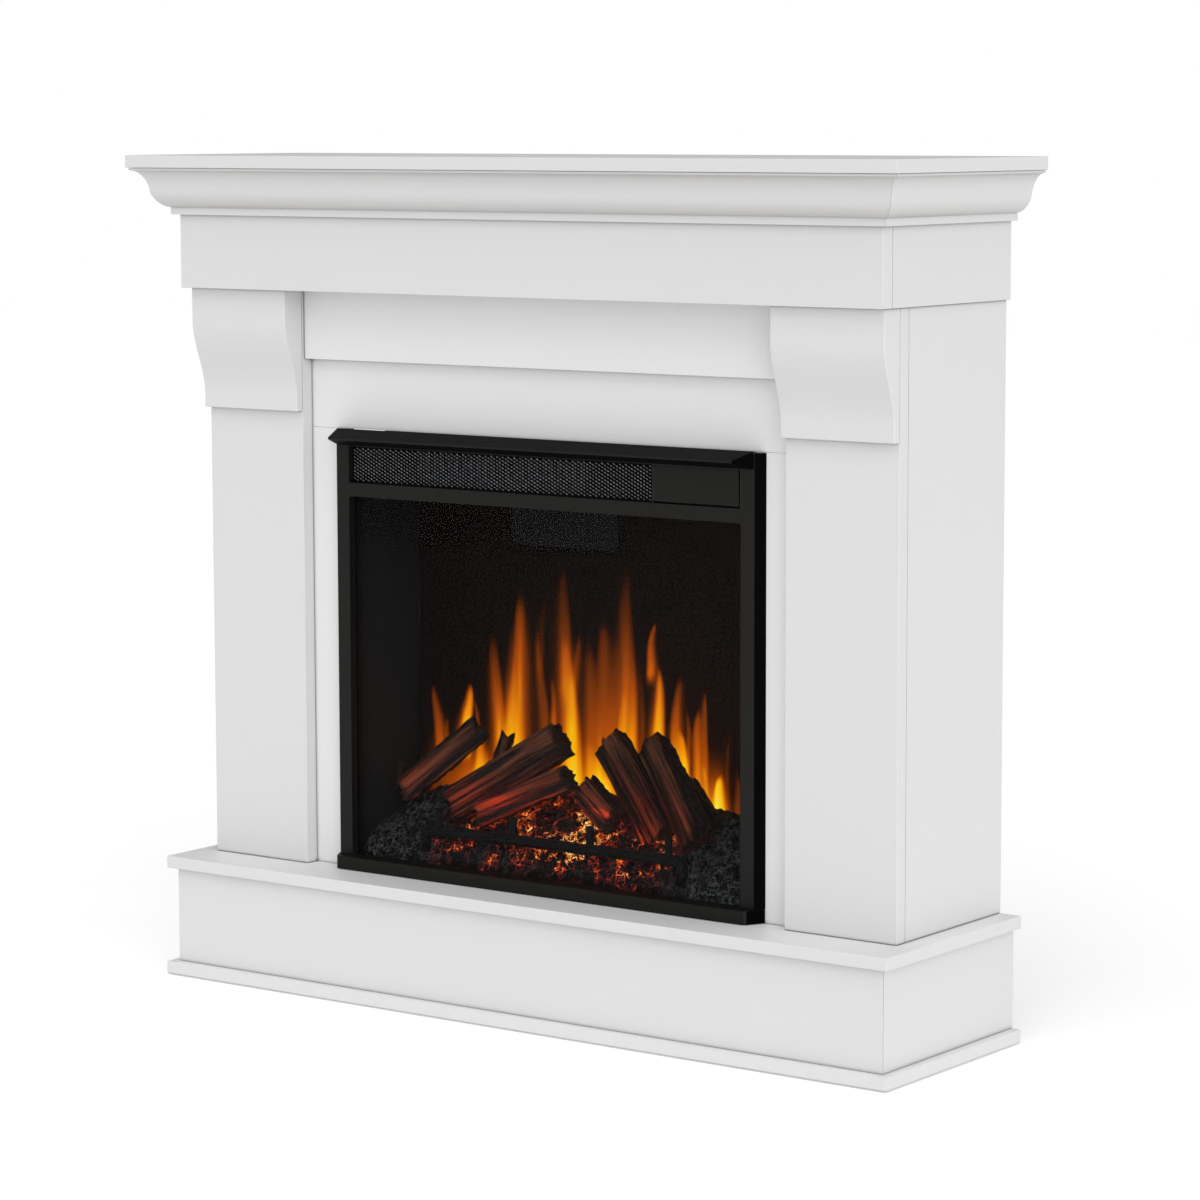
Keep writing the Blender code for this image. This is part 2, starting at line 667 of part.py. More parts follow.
# ---------------------------------------------------------------- insert: control pocket
def build_pocket():
    """The shallow box behind the flap. Its back carries the controls, and its sides hold the hinge pin."""
    bm = bmesh.new()
    add_box(
        bm,
        (POCKET_LEFT, POCKET_BACK, SLOT_BOTTOM + GAP),
        (POCKET_RIGHT, POCKET_FRONT, SLOT_TOP - GAP),
    )
    front = at_reach(POCKET_FRONT)
    mouth = [face for face in bm.faces if all(abs(v.co.y - front) < 1e-6 for v in face.verts)]
    bmesh.ops.delete(bm, geom=mouth, context="FACES_ONLY")
    pocket = object_from("control_pocket", bm, PARTS, BLACK_PLASTIC, (POCKET_LEFT, front, SLOT_BOTTOM))
    wall = pocket.modifiers.new("wall", "SOLIDIFY")
    wall.thickness = POCKET_WALL
    wall.offset = -1
    wall.use_even_offset = True

    cuts = bmesh.new()
    pin_y = at_reach(HINGE_REACH)
    hole = PIN_RADIUS + RUNNING_CLEARANCE
    for wall_x in (POCKET_LEFT, POCKET_RIGHT):
        add_cylinder(cuts, (wall_x - 0.002, pin_y, HINGE_Z), (wall_x + 0.002, pin_y, HINGE_Z), hole, 16)
    # The floor stops short of the front, clear of the foot of the flap as it turns.
    add_box(
        cuts,
        (POCKET_LEFT + POCKET_WALL, HINGE_REACH - 0.0060, SLOT_BOTTOM - 0.002),
        (POCKET_RIGHT - POCKET_WALL, POCKET_FRONT + 0.002, SLOT_BOTTOM + GAP + POCKET_WALL + 0.0002),
    )
    for x in BUTTON_X:
        add_cylinder(
            cuts,
            (x, at_reach(POCKET_BACK - 0.004), CONTROL_Z),
            (x, at_reach(POCKET_BACK + 0.004), CONTROL_Z),
            BUTTON_RADIUS + RUNNING_CLEARANCE,
            24,
        )
    window = RUNNING_CLEARANCE + 0.0002
    add_box(
        cuts,
        (ROCKER_X - ROCKER_WIDTH / 2 - window, POCKET_BACK - 0.004, CONTROL_Z - ROCKER_HEIGHT / 2 - window),
        (ROCKER_X + ROCKER_WIDTH / 2 + window, POCKET_BACK + 0.004, CONTROL_Z + ROCKER_HEIGHT / 2 + window),
    )
    cut(pocket, "pocket_cuts", cuts)


def build_door():
    """The flap over the controls, hinged along its foot on a steel pin."""
    hinge_y = at_reach(HINGE_REACH)
    pin_hole = PIN_RADIUS + RUNNING_CLEARANCE
    bm = bmesh.new()
    add_box(bm, (DOOR_LEFT, FRAME_FRONT - DOOR_THICKNESS, DOOR_FOOT), (DOOR_RIGHT, FRAME_FRONT, DOOR_TOP))
    door = object_from("control_door", bm, PARTS, BLACK_PAINT, (0.0, hinge_y, HINGE_Z))
    barrel = bmesh.new()
    add_cylinder(barrel, (DOOR_LEFT, hinge_y, HINGE_Z), (DOOR_RIGHT, hinge_y, HINGE_Z), BARREL_RADIUS, 20)
    join(door, "door_barrel", barrel)
    bore = bmesh.new()
    add_cylinder(
        bore, (DOOR_LEFT - 0.003, hinge_y, HINGE_Z), (DOOR_RIGHT + 0.003, hinge_y, HINGE_Z), pin_hole, 16
    )
    cut(door, "door_bore", bore)

    pin = bmesh.new()
    add_cylinder(
        pin,
        (POCKET_LEFT - 0.0001, hinge_y, HINGE_Z),
        (POCKET_RIGHT + 0.0001, hinge_y, HINGE_Z),
        PIN_RADIUS,
        16,
    )
    smooth(object_from("door_hinge_pin", pin, PARTS, STEEL, (0.0, hinge_y, HINGE_Z)))


def build_controls():
    """A rocker for the mains and three push buttons, and the circuit board behind them."""
    front = POCKET_BACK + ROCKER_PROUD
    back = front - ROCKER_DEPTH
    half = ROCKER_HEIGHT / 2
    outline = [
        (back, -half + 0.002),
        (back + 0.0035, -half),
        (front - 0.0012, -half),
        (front, -half + 0.0012),
        (front - 0.0010, 0.0),
        (front, half - 0.0012),
        (front - 0.0012, half),
        (back + 0.0035, half),
        (back, half - 0.002),
    ]

    def side(x):
        return [(x, at_reach(reach), CONTROL_Z + z) for reach, z in outline]

    loft(
        "power_rocker",
        side(ROCKER_X - ROCKER_WIDTH / 2),
        side(ROCKER_X + ROCKER_WIDTH / 2),
        PARTS,
        GREY_PLASTIC,
        (ROCKER_X, at_reach(POCKET_BACK + POCKET_WALL / 2), CONTROL_Z),
    )

    for name, x in zip(("button_flame", "button_heat", "button_timer"), BUTTON_X):
        bm = bmesh.new()
        cap = POCKET_BACK + POCKET_WALL + BUTTON_PROUD
        add_cylinder(
            bm, (x, at_reach(cap - 0.0150), CONTROL_Z), (x, at_reach(cap), CONTROL_Z), BUTTON_RADIUS
        )
        button = object_from(name, bm, PARTS, GREY_PLASTIC, (x, at_reach(POCKET_BACK), CONTROL_Z))
        flange = bmesh.new()
        seat = POCKET_BACK - GAP
        add_cylinder(
            flange,
            (x, at_reach(seat - 0.0010), CONTROL_Z),
            (x, at_reach(seat), CONTROL_Z),
            BUTTON_RADIUS + 0.0012,
        )
        join(button, name + "_flange", flange)
        smooth(button)

    button_end = POCKET_BACK + POCKET_WALL + BUTTON_PROUD - 0.0150 - BUTTON_TRAVEL
    board_front = button_end - 0.0050
    board = box(
        "control_board",
        (POCKET_LEFT + 0.010, board_front - 0.0016, SLOT_BOTTOM + 0.003),
        (POCKET_RIGHT - 0.008, board_front, SLOT_TOP - 0.003),
        CIRCUIT_GREEN,
    )
    pieces = bmesh.new()
    for x in BUTTON_X:
        add_box(
            pieces,
            (x - 0.003, board_front - 0.0005, CONTROL_Z - 0.003),
            (x + 0.003, board_front + 0.0045, CONTROL_Z + 0.003),
        )
    relay_x = POCKET_LEFT + 0.022
    add_box(
        pieces,
        (relay_x - 0.008, board_front - 0.0140, CONTROL_Z - 0.010),
        (relay_x + 0.008, board_front - 0.0010, CONTROL_Z + 0.010),
    )
    add_box(
        pieces,
        (relay_x + 0.024, board_front - 0.0120, CONTROL_Z - 0.012),
        (relay_x + 0.046, board_front - 0.0010, CONTROL_Z + 0.006),
    )
    join(board, "board_components", pieces)
    for number, (x, z) in enumerate(
        (
            (POCKET_LEFT + 0.013, SLOT_TOP - 0.006),
            (POCKET_RIGHT - 0.011, SLOT_TOP - 0.006),
        )
    ):
        post = bmesh.new()
        add_cylinder(
            post, (x, at_reach(board_front - 0.0005), z), (x, at_reach(POCKET_BACK - GAP), z), 0.0022, 12
        )
        join(board, "board_post_%d" % number, post)


# ---------------------------------------------------------------- insert: casing
def build_casing():
    """Four sheets and a rear cover. The side sheets turn out at the front into a mounting flange."""
    for side in (-1, 1):
        def plan(z):
            points = [
                (CASING_INNER, CASING_BACK_REACH),
                (CASING_HALF_WIDTH, CASING_BACK_REACH),
                (CASING_HALF_WIDTH, CASING_FRONT - SHEET),
                (CASING_HALF_WIDTH + FLANGE_WIDTH, CASING_FRONT - SHEET),
                (CASING_HALF_WIDTH + FLANGE_WIDTH, CASING_FRONT),
                (CASING_INNER, CASING_FRONT),
            ]
            return [(side * x, at_reach(reach), z) for x, reach in points]

        loft(side_name("casing", side), plan(CASING_FOOT), plan(CASING_TOP), PARTS, LINER_PAINT)
    inner = CASING_INNER - GAP
    box(
        "casing_base",
        (-inner, CASING_BACK_REACH, CASING_FOOT),
        (inner, CASING_FRONT, BASE_SHEET_TOP - GAP),
        LINER_PAINT,
    )
    box(
        "casing_lid",
        (-inner, CASING_BACK_REACH, LID_UNDERSIDE),
        (inner, CASING_FRONT, CASING_TOP),
        LINER_PAINT,
    )
    box(
        "firebox_ceiling",
        (-inner, SCREEN_REACH + GAP, CEILING_BOTTOM),
        (inner, CASING_FRONT - SHEET, CEILING_TOP),
        LINER_PAINT,
    )


def build_rear_cover():
    """The sheet that closes the back, with air slots near its top and a hole for the mains inlet."""
    cover = box(
        "rear_cover",
        (-CASING_HALF_WIDTH, CASING_BACK_REACH - GAP - SHEET, CASING_FOOT),
        (CASING_HALF_WIDTH, CASING_BACK_REACH - GAP, CASING_TOP),
        LINER_PAINT,
    )
    cuts = bmesh.new()
    for row in range(3):
        for column in range(8):
            x = -0.154 + 0.044 * column
            z = CHAMBER_Z - 0.012 + 0.012 * row
            add_box(cuts, (x - 0.015, 0.020, z - 0.0022), (x + 0.015, 0.040, z + 0.0022))
    add_cylinder(
        cuts,
        (GLAND_X, at_reach(0.020), GLAND_Z),
        (GLAND_X, at_reach(0.040), GLAND_Z),
        GLAND_SLEEVE + RUNNING_CLEARANCE,
        24,
    )
    cut(cover, "rear_cover_cuts", cuts)


def build_gland():
    """The mains inlet bush: a flanged sleeve turned round the hole in the rear cover."""
    outside = CASING_BACK_REACH - GAP - SHEET - GAP
    profile = [
        (GLAND_FLANGE, 0.0030),
        (GLAND_FLANGE, 0.0),
        (GLAND_SLEEVE, 0.0),
        (GLAND_SLEEVE, -0.0100),
        (GLAND_BORE, -0.0100),
        (GLAND_BORE, 0.0060),
        (GLAND_SLEEVE - 0.0010, 0.0060),
        (GLAND_SLEEVE + 0.0010, 0.0030),
    ]
    mesh = bpy.data.meshes.new("cord_gland")
    points = [(radius, 0.0, height) for radius, height in profile]
    edges = [(step, (step + 1) % len(points)) for step in range(len(points))]
    mesh.from_pydata(points, edges, [])
    gland = bpy.data.objects.new("cord_gland", mesh)
    gland.location = (GLAND_X, at_reach(outside), GLAND_Z)
    gland.rotation_euler = (math.radians(-90), 0, 0)
    PARTS.objects.link(gland)
    mesh.materials.append(finish_of("cord_gland_finish", BLACK_PLASTIC))
    turn = gland.modifiers.new("turn", "SCREW")
    turn.steps = 28
    turn.render_steps = 28
    turn.use_merge_vertices = True
    turn.merge_threshold = 0.0001


def build_screen_and_baffle():
    inner = CASING_INNER - GAP
    box(
        "flame_screen",
        (-inner, SCREEN_REACH - SCREEN_THICKNESS, BASE_SHEET_TOP),
        (inner, SCREEN_REACH, CEILING_BOTTOM - GAP),
        SMOKED_ACRYLIC,
    )
    top = CEILING_BOTTOM - GAP
    foot = top - BAFFLE_DROP
    bm = bmesh.new()
    add_box(bm, (-BAFFLE_HALF_WIDTH, BAFFLE_REACH - SHEET, foot), (BAFFLE_HALF_WIDTH, BAFFLE_REACH, top))
    low_corners = [
        edge for edge in bm.edges
        if all(abs(v.co.z - foot) < 1e-6 for v in edge.verts)
        and abs(edge.verts[0].co.x - edge.verts[1].co.x) < 1e-6
    ]
    bmesh.ops.bevel(bm, geom=low_corners, offset=BAFFLE_RADIUS, segments=8, affect="EDGES", profile=0.5)
    smooth(object_from("heat_baffle", bm, PARTS, LINER_PAINT, (0.0, at_reach(BAFFLE_REACH), top)))


# ---------------------------------------------------------------- fuel bed
def bed_height(x, reach):
    """The top of the ember mould: it climbs steeply at the front, then gently to the screen."""
    run = (BED_FRONT - 0.0010 - reach) / (BED_FRONT - BED_BACK)
    if run <= 0:
        return BED_EDGE
    steep = 1 - math.exp(-run * BED_STEEPNESS)
    gentle = min(1.0, run / BED_GENTLE_RUN)
    share = BED_STEEP_SHARE * steep + (1 - BED_STEEP_SHARE) * gentle
    side = x / CASING_INNER
    across = 1 - BED_SHOULDER * abs(side) ** 3 - BED_RIGHT_FALL * max(0.0, side) ** 8
    wave = math.sin(x * 140 + 3 * math.sin(reach * 170)) * math.sin(reach * 260 + 2.2 * math.sin(x * 90))
    return BED_EDGE + BED_RISE * share * across + BED_LUMP * wave * steep


def log_ends(start, end):
    """The middles of a log's two ends, spread over the width of the firebox."""
    first = Vector((start[0] * FIREBOX_SPREAD, at_reach(start[1]), start[2]))
    last = Vector((end[0] * FIREBOX_SPREAD, at_reach(end[1]), end[2]))
    return first, last


def log_points(start, end, radius, swell):
    """The rings of a split log: seven uneven sides that shift a little from end to end."""
    first, last = log_ends(start, end)
    along = (last - first).normalized()
    across = along.cross(Vector((0, 0, 1))).normalized()
    up = across.cross(along)
    sides = 8
    rings = 6
    found = []
    for ring in range(rings):
        share = ring / (rings - 1)
        middle = first.lerp(last, share)
        ring_points = []
        for corner in range(sides):
            angle = 2 * math.pi * corner / sides
            wobble = 1 + 0.09 * math.sin(3.1 * corner + 1.7 * ring + swell) - 0.10 * abs(2 * share - 1) ** 3
            size = radius * wobble * (1.0 - 0.06 * math.cos(2 * angle + swell))
            ring_points.append(middle + across * (size * math.cos(angle)) + up * (size * math.sin(angle)))
        found.append(ring_points)
    return found


def add_rings(bm, rings):
    """A closed skin over a row of rings, which all have the same number of points."""
    rows = [[bm.verts.new(point) for point in ring] for ring in rings]
    count = len(rows[0])
    for first, second in zip(rows, rows[1:]):
        for step in range(count):
            after = (step + 1) % count
            bm.faces.new((first[step], first[after], second[after], second[step]))
    bm.faces.new(rows[0])
    bm.faces.new(rows[-1][::-1])
    bmesh.ops.triangulate(bm, faces=bm.faces, quad_method="FIXED", ngon_method="BEAUTY")


def build_logs():
    for name, start, end, radius, swell in LOGS:
        bm = bmesh.new()
        add_rings(bm, log_points(start, end, radius, swell))
        first, last = log_ends(start, end)
        smooth(object_from(name, bm, PARTS, BARK, (first + last) / 2), 35)


def build_grate():
    """A bar across the front with four prongs, its ends bent down into the embers."""
    y = at_reach(GRATE_REACH)
    half = GRATE_BAR / 2
    centre_z = GRATE_TOP - half
    path = [(GRATE_HALF_WIDTH, centre_z - GRATE_FOOT)]
    for angle in quarter(5):
        path.append(
            (
                GRATE_HALF_WIDTH - GRATE_BEND + GRATE_BEND * math.cos(angle),
                centre_z - GRATE_BEND + GRATE_BEND * math.sin(angle),
            )
        )
    path = path + [(-x, z) for x, z in reversed(path)]
    curve = bpy.data.curves.new("grate_bar", "CURVE")
    curve.dimensions = "3D"
    curve.bevel_depth = half
    curve.bevel_resolution = 2
    curve.use_fill_caps = True
    spline = curve.splines.new("POLY")
    spline.points.add(len(path) - 1)
    for point, (x, z) in zip(spline.points, path):
        point.co = (x, 0.0, z - centre_z, 1.0)
    guide = bpy.data.objects.new("grate_bar", curve)
    guide.location = (0.0, y, centre_z)
    CUTTERS.objects.link(guide)
    bpy.context.view_layer.update()
    graph = bpy.context.evaluated_depsgraph_get()
    mesh = bpy.data.meshes.new_from_object(guide.evaluated_get(graph))
    bm = bmesh.new()
    bm.from_mesh(mesh)
    bmesh.ops.remove_doubles(bm, verts=bm.verts, dist=0.00001)
    bmesh.ops.transform(bm, matrix=guide.matrix_world, verts=bm.verts)
    bpy.data.objects.remove(guide, do_unlink=True)
    grate = object_from("grate", bm, PARTS, CAST_IRON, (0.0, y, centre_z))
    slim = half * PRONG_SLIMNESS
    for number in range(PRONG_COUNT):
        x = PRONG_SPACING * (number - (PRONG_COUNT - 1) / 2)
        prong = bmesh.new()
        add_box(
            prong,
            (x - slim, GRATE_REACH - slim, centre_z),
            (x + slim, GRATE_REACH + slim, GRATE_TOP + PRONG_HEIGHT),
        )
        join(grate, "grate_prong_%d" % number, prong)


def build_ember_bed():
    """One moulded tray of embers, with a socket for each log and for the feet of the grate."""
    columns = 42
    rows = 14
    half = CASING_INNER - GAP
    bm = bmesh.new()
    grid = []
    for row in range(rows + 1):
        reach = BED_FRONT + (BED_BACK - BED_FRONT) * (row / rows) ** 1.35
        grid.append([])
        for column in range(columns + 1):
            x = -half + 2 * half * column / columns
            grid[-1].append(bm.verts.new((x, at_reach(reach), bed_height(x, reach))))
    for first, second in zip(grid, grid[1:]):
        for column in range(columns):
            bm.faces.new((first[column], first[column + 1], second[column + 1], second[column]))
    rim = [edge for edge in bm.edges if edge.is_boundary]
    wall = bmesh.ops.extrude_edge_only(bm, edges=rim)["geom"]
    foot = [item for item in wall if isinstance(item, bmesh.types.BMVert)]
    for vert in foot:
        vert.co.z = BASE_SHEET_TOP
    open_edges = [edge for edge in bm.edges if edge.is_boundary]
    bmesh.ops.contextual_create(bm, geom=open_edges)
    bed = object_from("ember_bed", bm, PARTS, CHARCOAL, (0.0, at_reach(BED_FRONT), BASE_SHEET_TOP))
    smooth(bed, 50)
    for name, start, end, radius, swell in LOGS:
        socket = bmesh.new()
        add_rings(socket, log_points(start, end, radius + SOCKET_CLEARANCE, swell))
        first, last = log_ends(start, end)
        for vert in socket.verts:
            along = (last - first).normalized()
            share = (vert.co - first).dot(last - first) / (last - first).length_squared
            vert.co += along * SOCKET_CLEARANCE * (2 * share - 1)
        cut(bed, name + "_socket", socket)
    groove = bmesh.new()
    play = 0.0006
    room = GRATE_BAR / 2 + play
    foot_z = GRATE_TOP - GRATE_BAR / 2 - GRATE_FOOT - play
    for side in (-1, 1):
        add_box(
            groove,
            (side * (GRATE_HALF_WIDTH - room), GRATE_REACH - room, foot_z),
            (side * (GRATE_HALF_WIDTH + room), GRATE_REACH + room + 0.006, GRATE_TOP + 0.010),
        )
    add_box(
        groove,
        (-GRATE_HALF_WIDTH + room + 0.0010, GRATE_REACH - room, GRATE_TOP - GRATE_BAR - play),
        (GRATE_HALF_WIDTH - room - 0.0010, GRATE_REACH + room + 0.006, GRATE_TOP + 0.010),
    )
    cut(bed, "grate_groove", groove)


# ---------------------------------------------------------------- drives, light and heat
def star_ring(x, centre, inner, outer, blades, turn, root_share=0.30):
    """One section across a bladed rotor: a hub with thin blades standing out of it."""
    points = []
    step = 2 * math.pi / blades
    root = step * root_share
    tip = min(root, root * inner / outer * 1.4)
    for blade in range(blades):
        angle = turn + blade * step
        for offset, radius in ((-root, inner), (-tip, outer), (tip, outer), (root, inner)):
            bearing = angle + offset
            points.append(
                (x, centre[0] + radius * math.cos(bearing), centre[1] + radius * math.sin(bearing))
            )
    return points


def build_rotor(name, first, last, stub, centre, hub, radius, blades, sections, twist, root_share, finish):
    """A bladed rotor lofted in one piece with its shaft, which stands out by a stub at each end."""
    def shaft_ring(x, turn):
        return star_ring(x, centre, SPINDLE_SHAFT, SPINDLE_SHAFT, blades, turn, root_share)

    rings = [shaft_ring(first - stub, 0.0), shaft_ring(first, 0.0)]
    for step in range(sections + 1):
        x = first + (last - first) * step / sections
        rings.append(star_ring(x, centre, hub, radius, blades, twist * step, root_share))
    rings += [shaft_ring(last, twist * sections), shaft_ring(last + stub, twist * sections)]
    bm = bmesh.new()
    add_rings(bm, rings)
    return object_from(name, bm, PARTS, finish, (0.0, centre[0], centre[1]))


def build_flame_drive():
    """Behind the screen a slow motor turns a spindle of bright flags over a strip of lamps."""
    y = at_reach(SPINDLE_REACH)
    stub = 0.0090
    first = -SPINDLE_LENGTH / 2 - SPINDLE_SHIFT
    last = first + SPINDLE_LENGTH
    build_rotor(
        "flame_spindle", first, last, stub, (y, SPINDLE_Z),
        SPINDLE_SHAFT + 0.001, SPINDLE_FLAG, 3, 18, 0.55, 0.16, STEEL,
    )
    fit = SPINDLE_SHAFT + RUNNING_CLEARANCE
    wall = CASING_INNER - GAP
    bearing = box(
        "spindle_bearing",
        (-wall, SPINDLE_REACH - 0.008, SPINDLE_Z - 0.010),
        (first - 0.0030, SPINDLE_REACH + 0.008, SPINDLE_Z + 0.010),
        BLACK_PLASTIC,
    )
    bore = bmesh.new()
    add_cylinder(bore, (first - 0.012, y, SPINDLE_Z), (first, y, SPINDLE_Z), fit, 16)
    cut(bearing, "bearing_bore", bore)

    bm = bmesh.new()
    add_cylinder(bm, (last + 0.003, y, SPINDLE_Z), (wall, y, SPINDLE_Z), MOTOR_RADIUS, 28)
    motor = object_from("spindle_motor", bm, PARTS, GALVANISED, (last, y, SPINDLE_Z))
    socket = bmesh.new()
    add_cylinder(socket, (last, y, SPINDLE_Z), (last + 0.010, y, SPINDLE_Z), fit, 16)
    cut(motor, "spindle_motor_socket", socket)
    smooth(motor)

    strip_half = CASING_INNER - STRIP_END_GAP
    strip = box(
        "led_strip",
        (-strip_half, 0.064, BASE_SHEET_TOP),
        (strip_half, 0.076, BASE_SHEET_TOP + 0.0016),
        CIRCUIT_GREEN,
    )
    lamps = bmesh.new()
    count = 14
    for step in range(count):
        x = (strip_half - STRIP_FIRST_LAMP) * (2 * step / (count - 1) - 1)
        add_box(
            lamps,
            (x - 0.0025, 0.0675, BASE_SHEET_TOP + 0.0010),
            (x + 0.0025, 0.0725, BASE_SHEET_TOP + 0.0030),
        )
    join(strip, "lamps", lamps)


def build_heater():
    """Over the firebox a cross-flow blower pushes air through a finned heating block to the grille."""
    y = at_reach(BLOWER_REACH)
    first = BLOWER_START
    last = first + BLOWER_LENGTH
    build_rotor(
        "blower_wheel", first, last, 0.0095, (y, CHAMBER_Z),
        0.0060, BLOWER_RADIUS, 12, 1, 0.0, 0.20, GALVANISED,
    )

    bm = bmesh.new()
    case = last + 0.004
    add_cylinder(bm, (case, y, CHAMBER_Z), (case + MOTOR_LENGTH, y, CHAMBER_Z), MOTOR_RADIUS, 28)
    motor = object_from("blower_motor", bm, PARTS, GALVANISED, (last, y, CHAMBER_Z))
    foot = bmesh.new()
    add_box(
        foot,
        (last + 0.010, BLOWER_REACH - 0.014, CEILING_TOP + GAP),
        (last + MOTOR_LENGTH - 0.004, BLOWER_REACH + 0.014, CHAMBER_Z - 0.004),
    )
    join(motor, "motor_foot", foot)
    socket = bmesh.new()
    add_cylinder(
        socket, (last, y, CHAMBER_Z), (last + 0.012, y, CHAMBER_Z), SPINDLE_SHAFT + RUNNING_CLEARANCE, 16
    )
    cut(motor, "blower_motor_socket", socket)
    smooth(motor)

    heater = box(
        "heater_element",
        (first + 0.004, 0.150, CEILING_TOP + GAP),
        (last - 0.004, 0.170, CHAMBER_Z + 0.020),
        GALVANISED,
    )
    channels = bmesh.new()
    count = 22
    for step in range(count):
        x = first + 0.012 + (BLOWER_LENGTH - 0.024) * step / (count - 1)
        add_box(
            channels,
            (x - 0.0032, 0.140, CHAMBER_Z - 0.016),
            (x + 0.0032, 0.180, CHAMBER_Z + 0.014),
        )
    cut(heater, "heater_channels", channels)


# ---------------------------------------------------------------- the whole piece
clear_scene()
PARTS = new_collection("electric_fireplace")
CUTTERS = new_collection("cutters")
build_shelf_and_crown()
build_header()
build_columns()
build_surround()
build_plinth()
build_frame()
build_sill()
build_hood()
build_grille()
build_glass()
build_pocket()
build_door()
build_controls()
build_casing()
build_rear_cover()
build_gland()
build_screen_and_baffle()
build_logs()
build_grate()
build_ember_bed()
build_flame_drive()
build_heater()
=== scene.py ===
"""Looks of the electric fireplace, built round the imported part. Lengths are metres in the part's frame."""
import json
import math
import random

import bmesh
import bpy
import numpy as np
from mathutils import Matrix, Vector


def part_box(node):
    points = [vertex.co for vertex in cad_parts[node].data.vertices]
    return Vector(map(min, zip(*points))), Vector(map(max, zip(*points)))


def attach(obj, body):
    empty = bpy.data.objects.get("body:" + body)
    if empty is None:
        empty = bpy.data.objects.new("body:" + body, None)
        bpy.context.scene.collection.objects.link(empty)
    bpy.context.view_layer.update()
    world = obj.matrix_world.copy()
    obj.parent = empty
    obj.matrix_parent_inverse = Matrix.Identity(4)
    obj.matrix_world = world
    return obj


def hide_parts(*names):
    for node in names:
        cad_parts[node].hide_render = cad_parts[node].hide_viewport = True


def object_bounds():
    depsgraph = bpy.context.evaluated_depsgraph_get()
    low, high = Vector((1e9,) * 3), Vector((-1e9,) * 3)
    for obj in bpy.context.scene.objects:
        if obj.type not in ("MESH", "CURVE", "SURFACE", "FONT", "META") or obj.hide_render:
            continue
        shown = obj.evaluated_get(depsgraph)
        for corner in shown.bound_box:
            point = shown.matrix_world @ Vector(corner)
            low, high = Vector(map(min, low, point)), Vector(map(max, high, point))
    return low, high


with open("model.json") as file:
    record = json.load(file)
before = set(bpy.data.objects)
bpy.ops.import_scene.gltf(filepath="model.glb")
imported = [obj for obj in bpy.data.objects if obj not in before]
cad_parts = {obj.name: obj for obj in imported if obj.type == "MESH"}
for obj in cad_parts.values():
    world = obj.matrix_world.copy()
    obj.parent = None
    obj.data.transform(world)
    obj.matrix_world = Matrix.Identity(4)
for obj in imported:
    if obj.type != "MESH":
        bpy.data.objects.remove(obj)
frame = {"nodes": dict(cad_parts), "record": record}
NODES = frame["nodes"]
cad_low, cad_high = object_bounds()
WALL_Y = cad_high.y

# Facets that meet at less than this many degrees are shaded as one round face.
CREASE_ANGLE = 31
WELD_GAP = 0.00001
# How much of each end of the insert's trim gets painted shade, near black, on its side faces.
TRIM_END = 0.012


def at_reach(reach):
    """The y that stands this far out from the wall."""
    return WALL_Y - reach


# ---------------------------------------------------------------- repeatable noise for meshes
def scramble(cell, seed):
    """A repeatable number from 0 to 1 for each row of whole numbers."""
    parts = cell.astype(np.int64).astype(np.uint32)
    mixed = parts[:, 0] * np.uint32(374761393) + parts[:, 1] * np.uint32(668265263)
    mixed = mixed + parts[:, 2] * np.uint32(2246822519) + np.uint32(seed * 7919 + 17)
    mixed = (mixed ^ (mixed >> np.uint32(15))) * np.uint32(2246822519)
    mixed = (mixed ^ (mixed >> np.uint32(13))) * np.uint32(3266489917)
    mixed = mixed ^ (mixed >> np.uint32(16))
    return mixed.astype(np.float64) / 4294967295.0


def noise(points, seed=0):
    """Smooth noise from -1 to 1, one cell to a unit."""
    base = np.floor(points)
    part = points - base
    part = part * part * (3 - 2 * part)
    total = np.zeros(len(points))
    for corner in range(8):
        step = np.array([corner & 1, corner >> 1 & 1, corner >> 2 & 1])
        weight = np.prod(np.where(step, part, 1 - part), axis=1)
        total += weight * scramble(base + step, seed)
    return total * 2 - 1


def fractal(points, octaves=4, seed=0):
    total = np.zeros(len(points))
    for octave in range(octaves):
        total += noise(points * 2.0**octave, seed + octave) / 2.0**octave
    return total


def cracks(points, seed=0):
    """For scattered cells: distance to the nearest centre, distance to the border, and the cell's number."""
    base = np.floor(points)
    nearest = np.full(len(points), 9.0)
    second = np.full(len(points), 9.0)
    owner = np.zeros(len(points))
    for index in range(27):
        step = np.array([index % 3 - 1, index // 3 % 3 - 1, index // 9 - 1])
        cell = base + step
        offsets = [scramble(cell, seed + axis) for axis in range(3)]
        gap = np.linalg.norm(cell + np.stack(offsets, axis=1) - points, axis=1)
        closer = gap < nearest
        second = np.where(closer, nearest, np.minimum(second, gap))
        owner = np.where(closer, offsets[0], owner)
        nearest = np.where(closer, gap, nearest)
    return nearest, second - nearest, owner


def smoothstep(low, high, value):
    share = np.clip((value - low) / (high - low), 0, 1)
    return share * share * (3 - 2 * share)


# ---------------------------------------------------------------- materials
def linear(red, green, blue):
    """A colour given in 0-255 display values."""
    return tuple((c / 255) ** 2.2 for c in (red, green, blue)) + (1.0,)


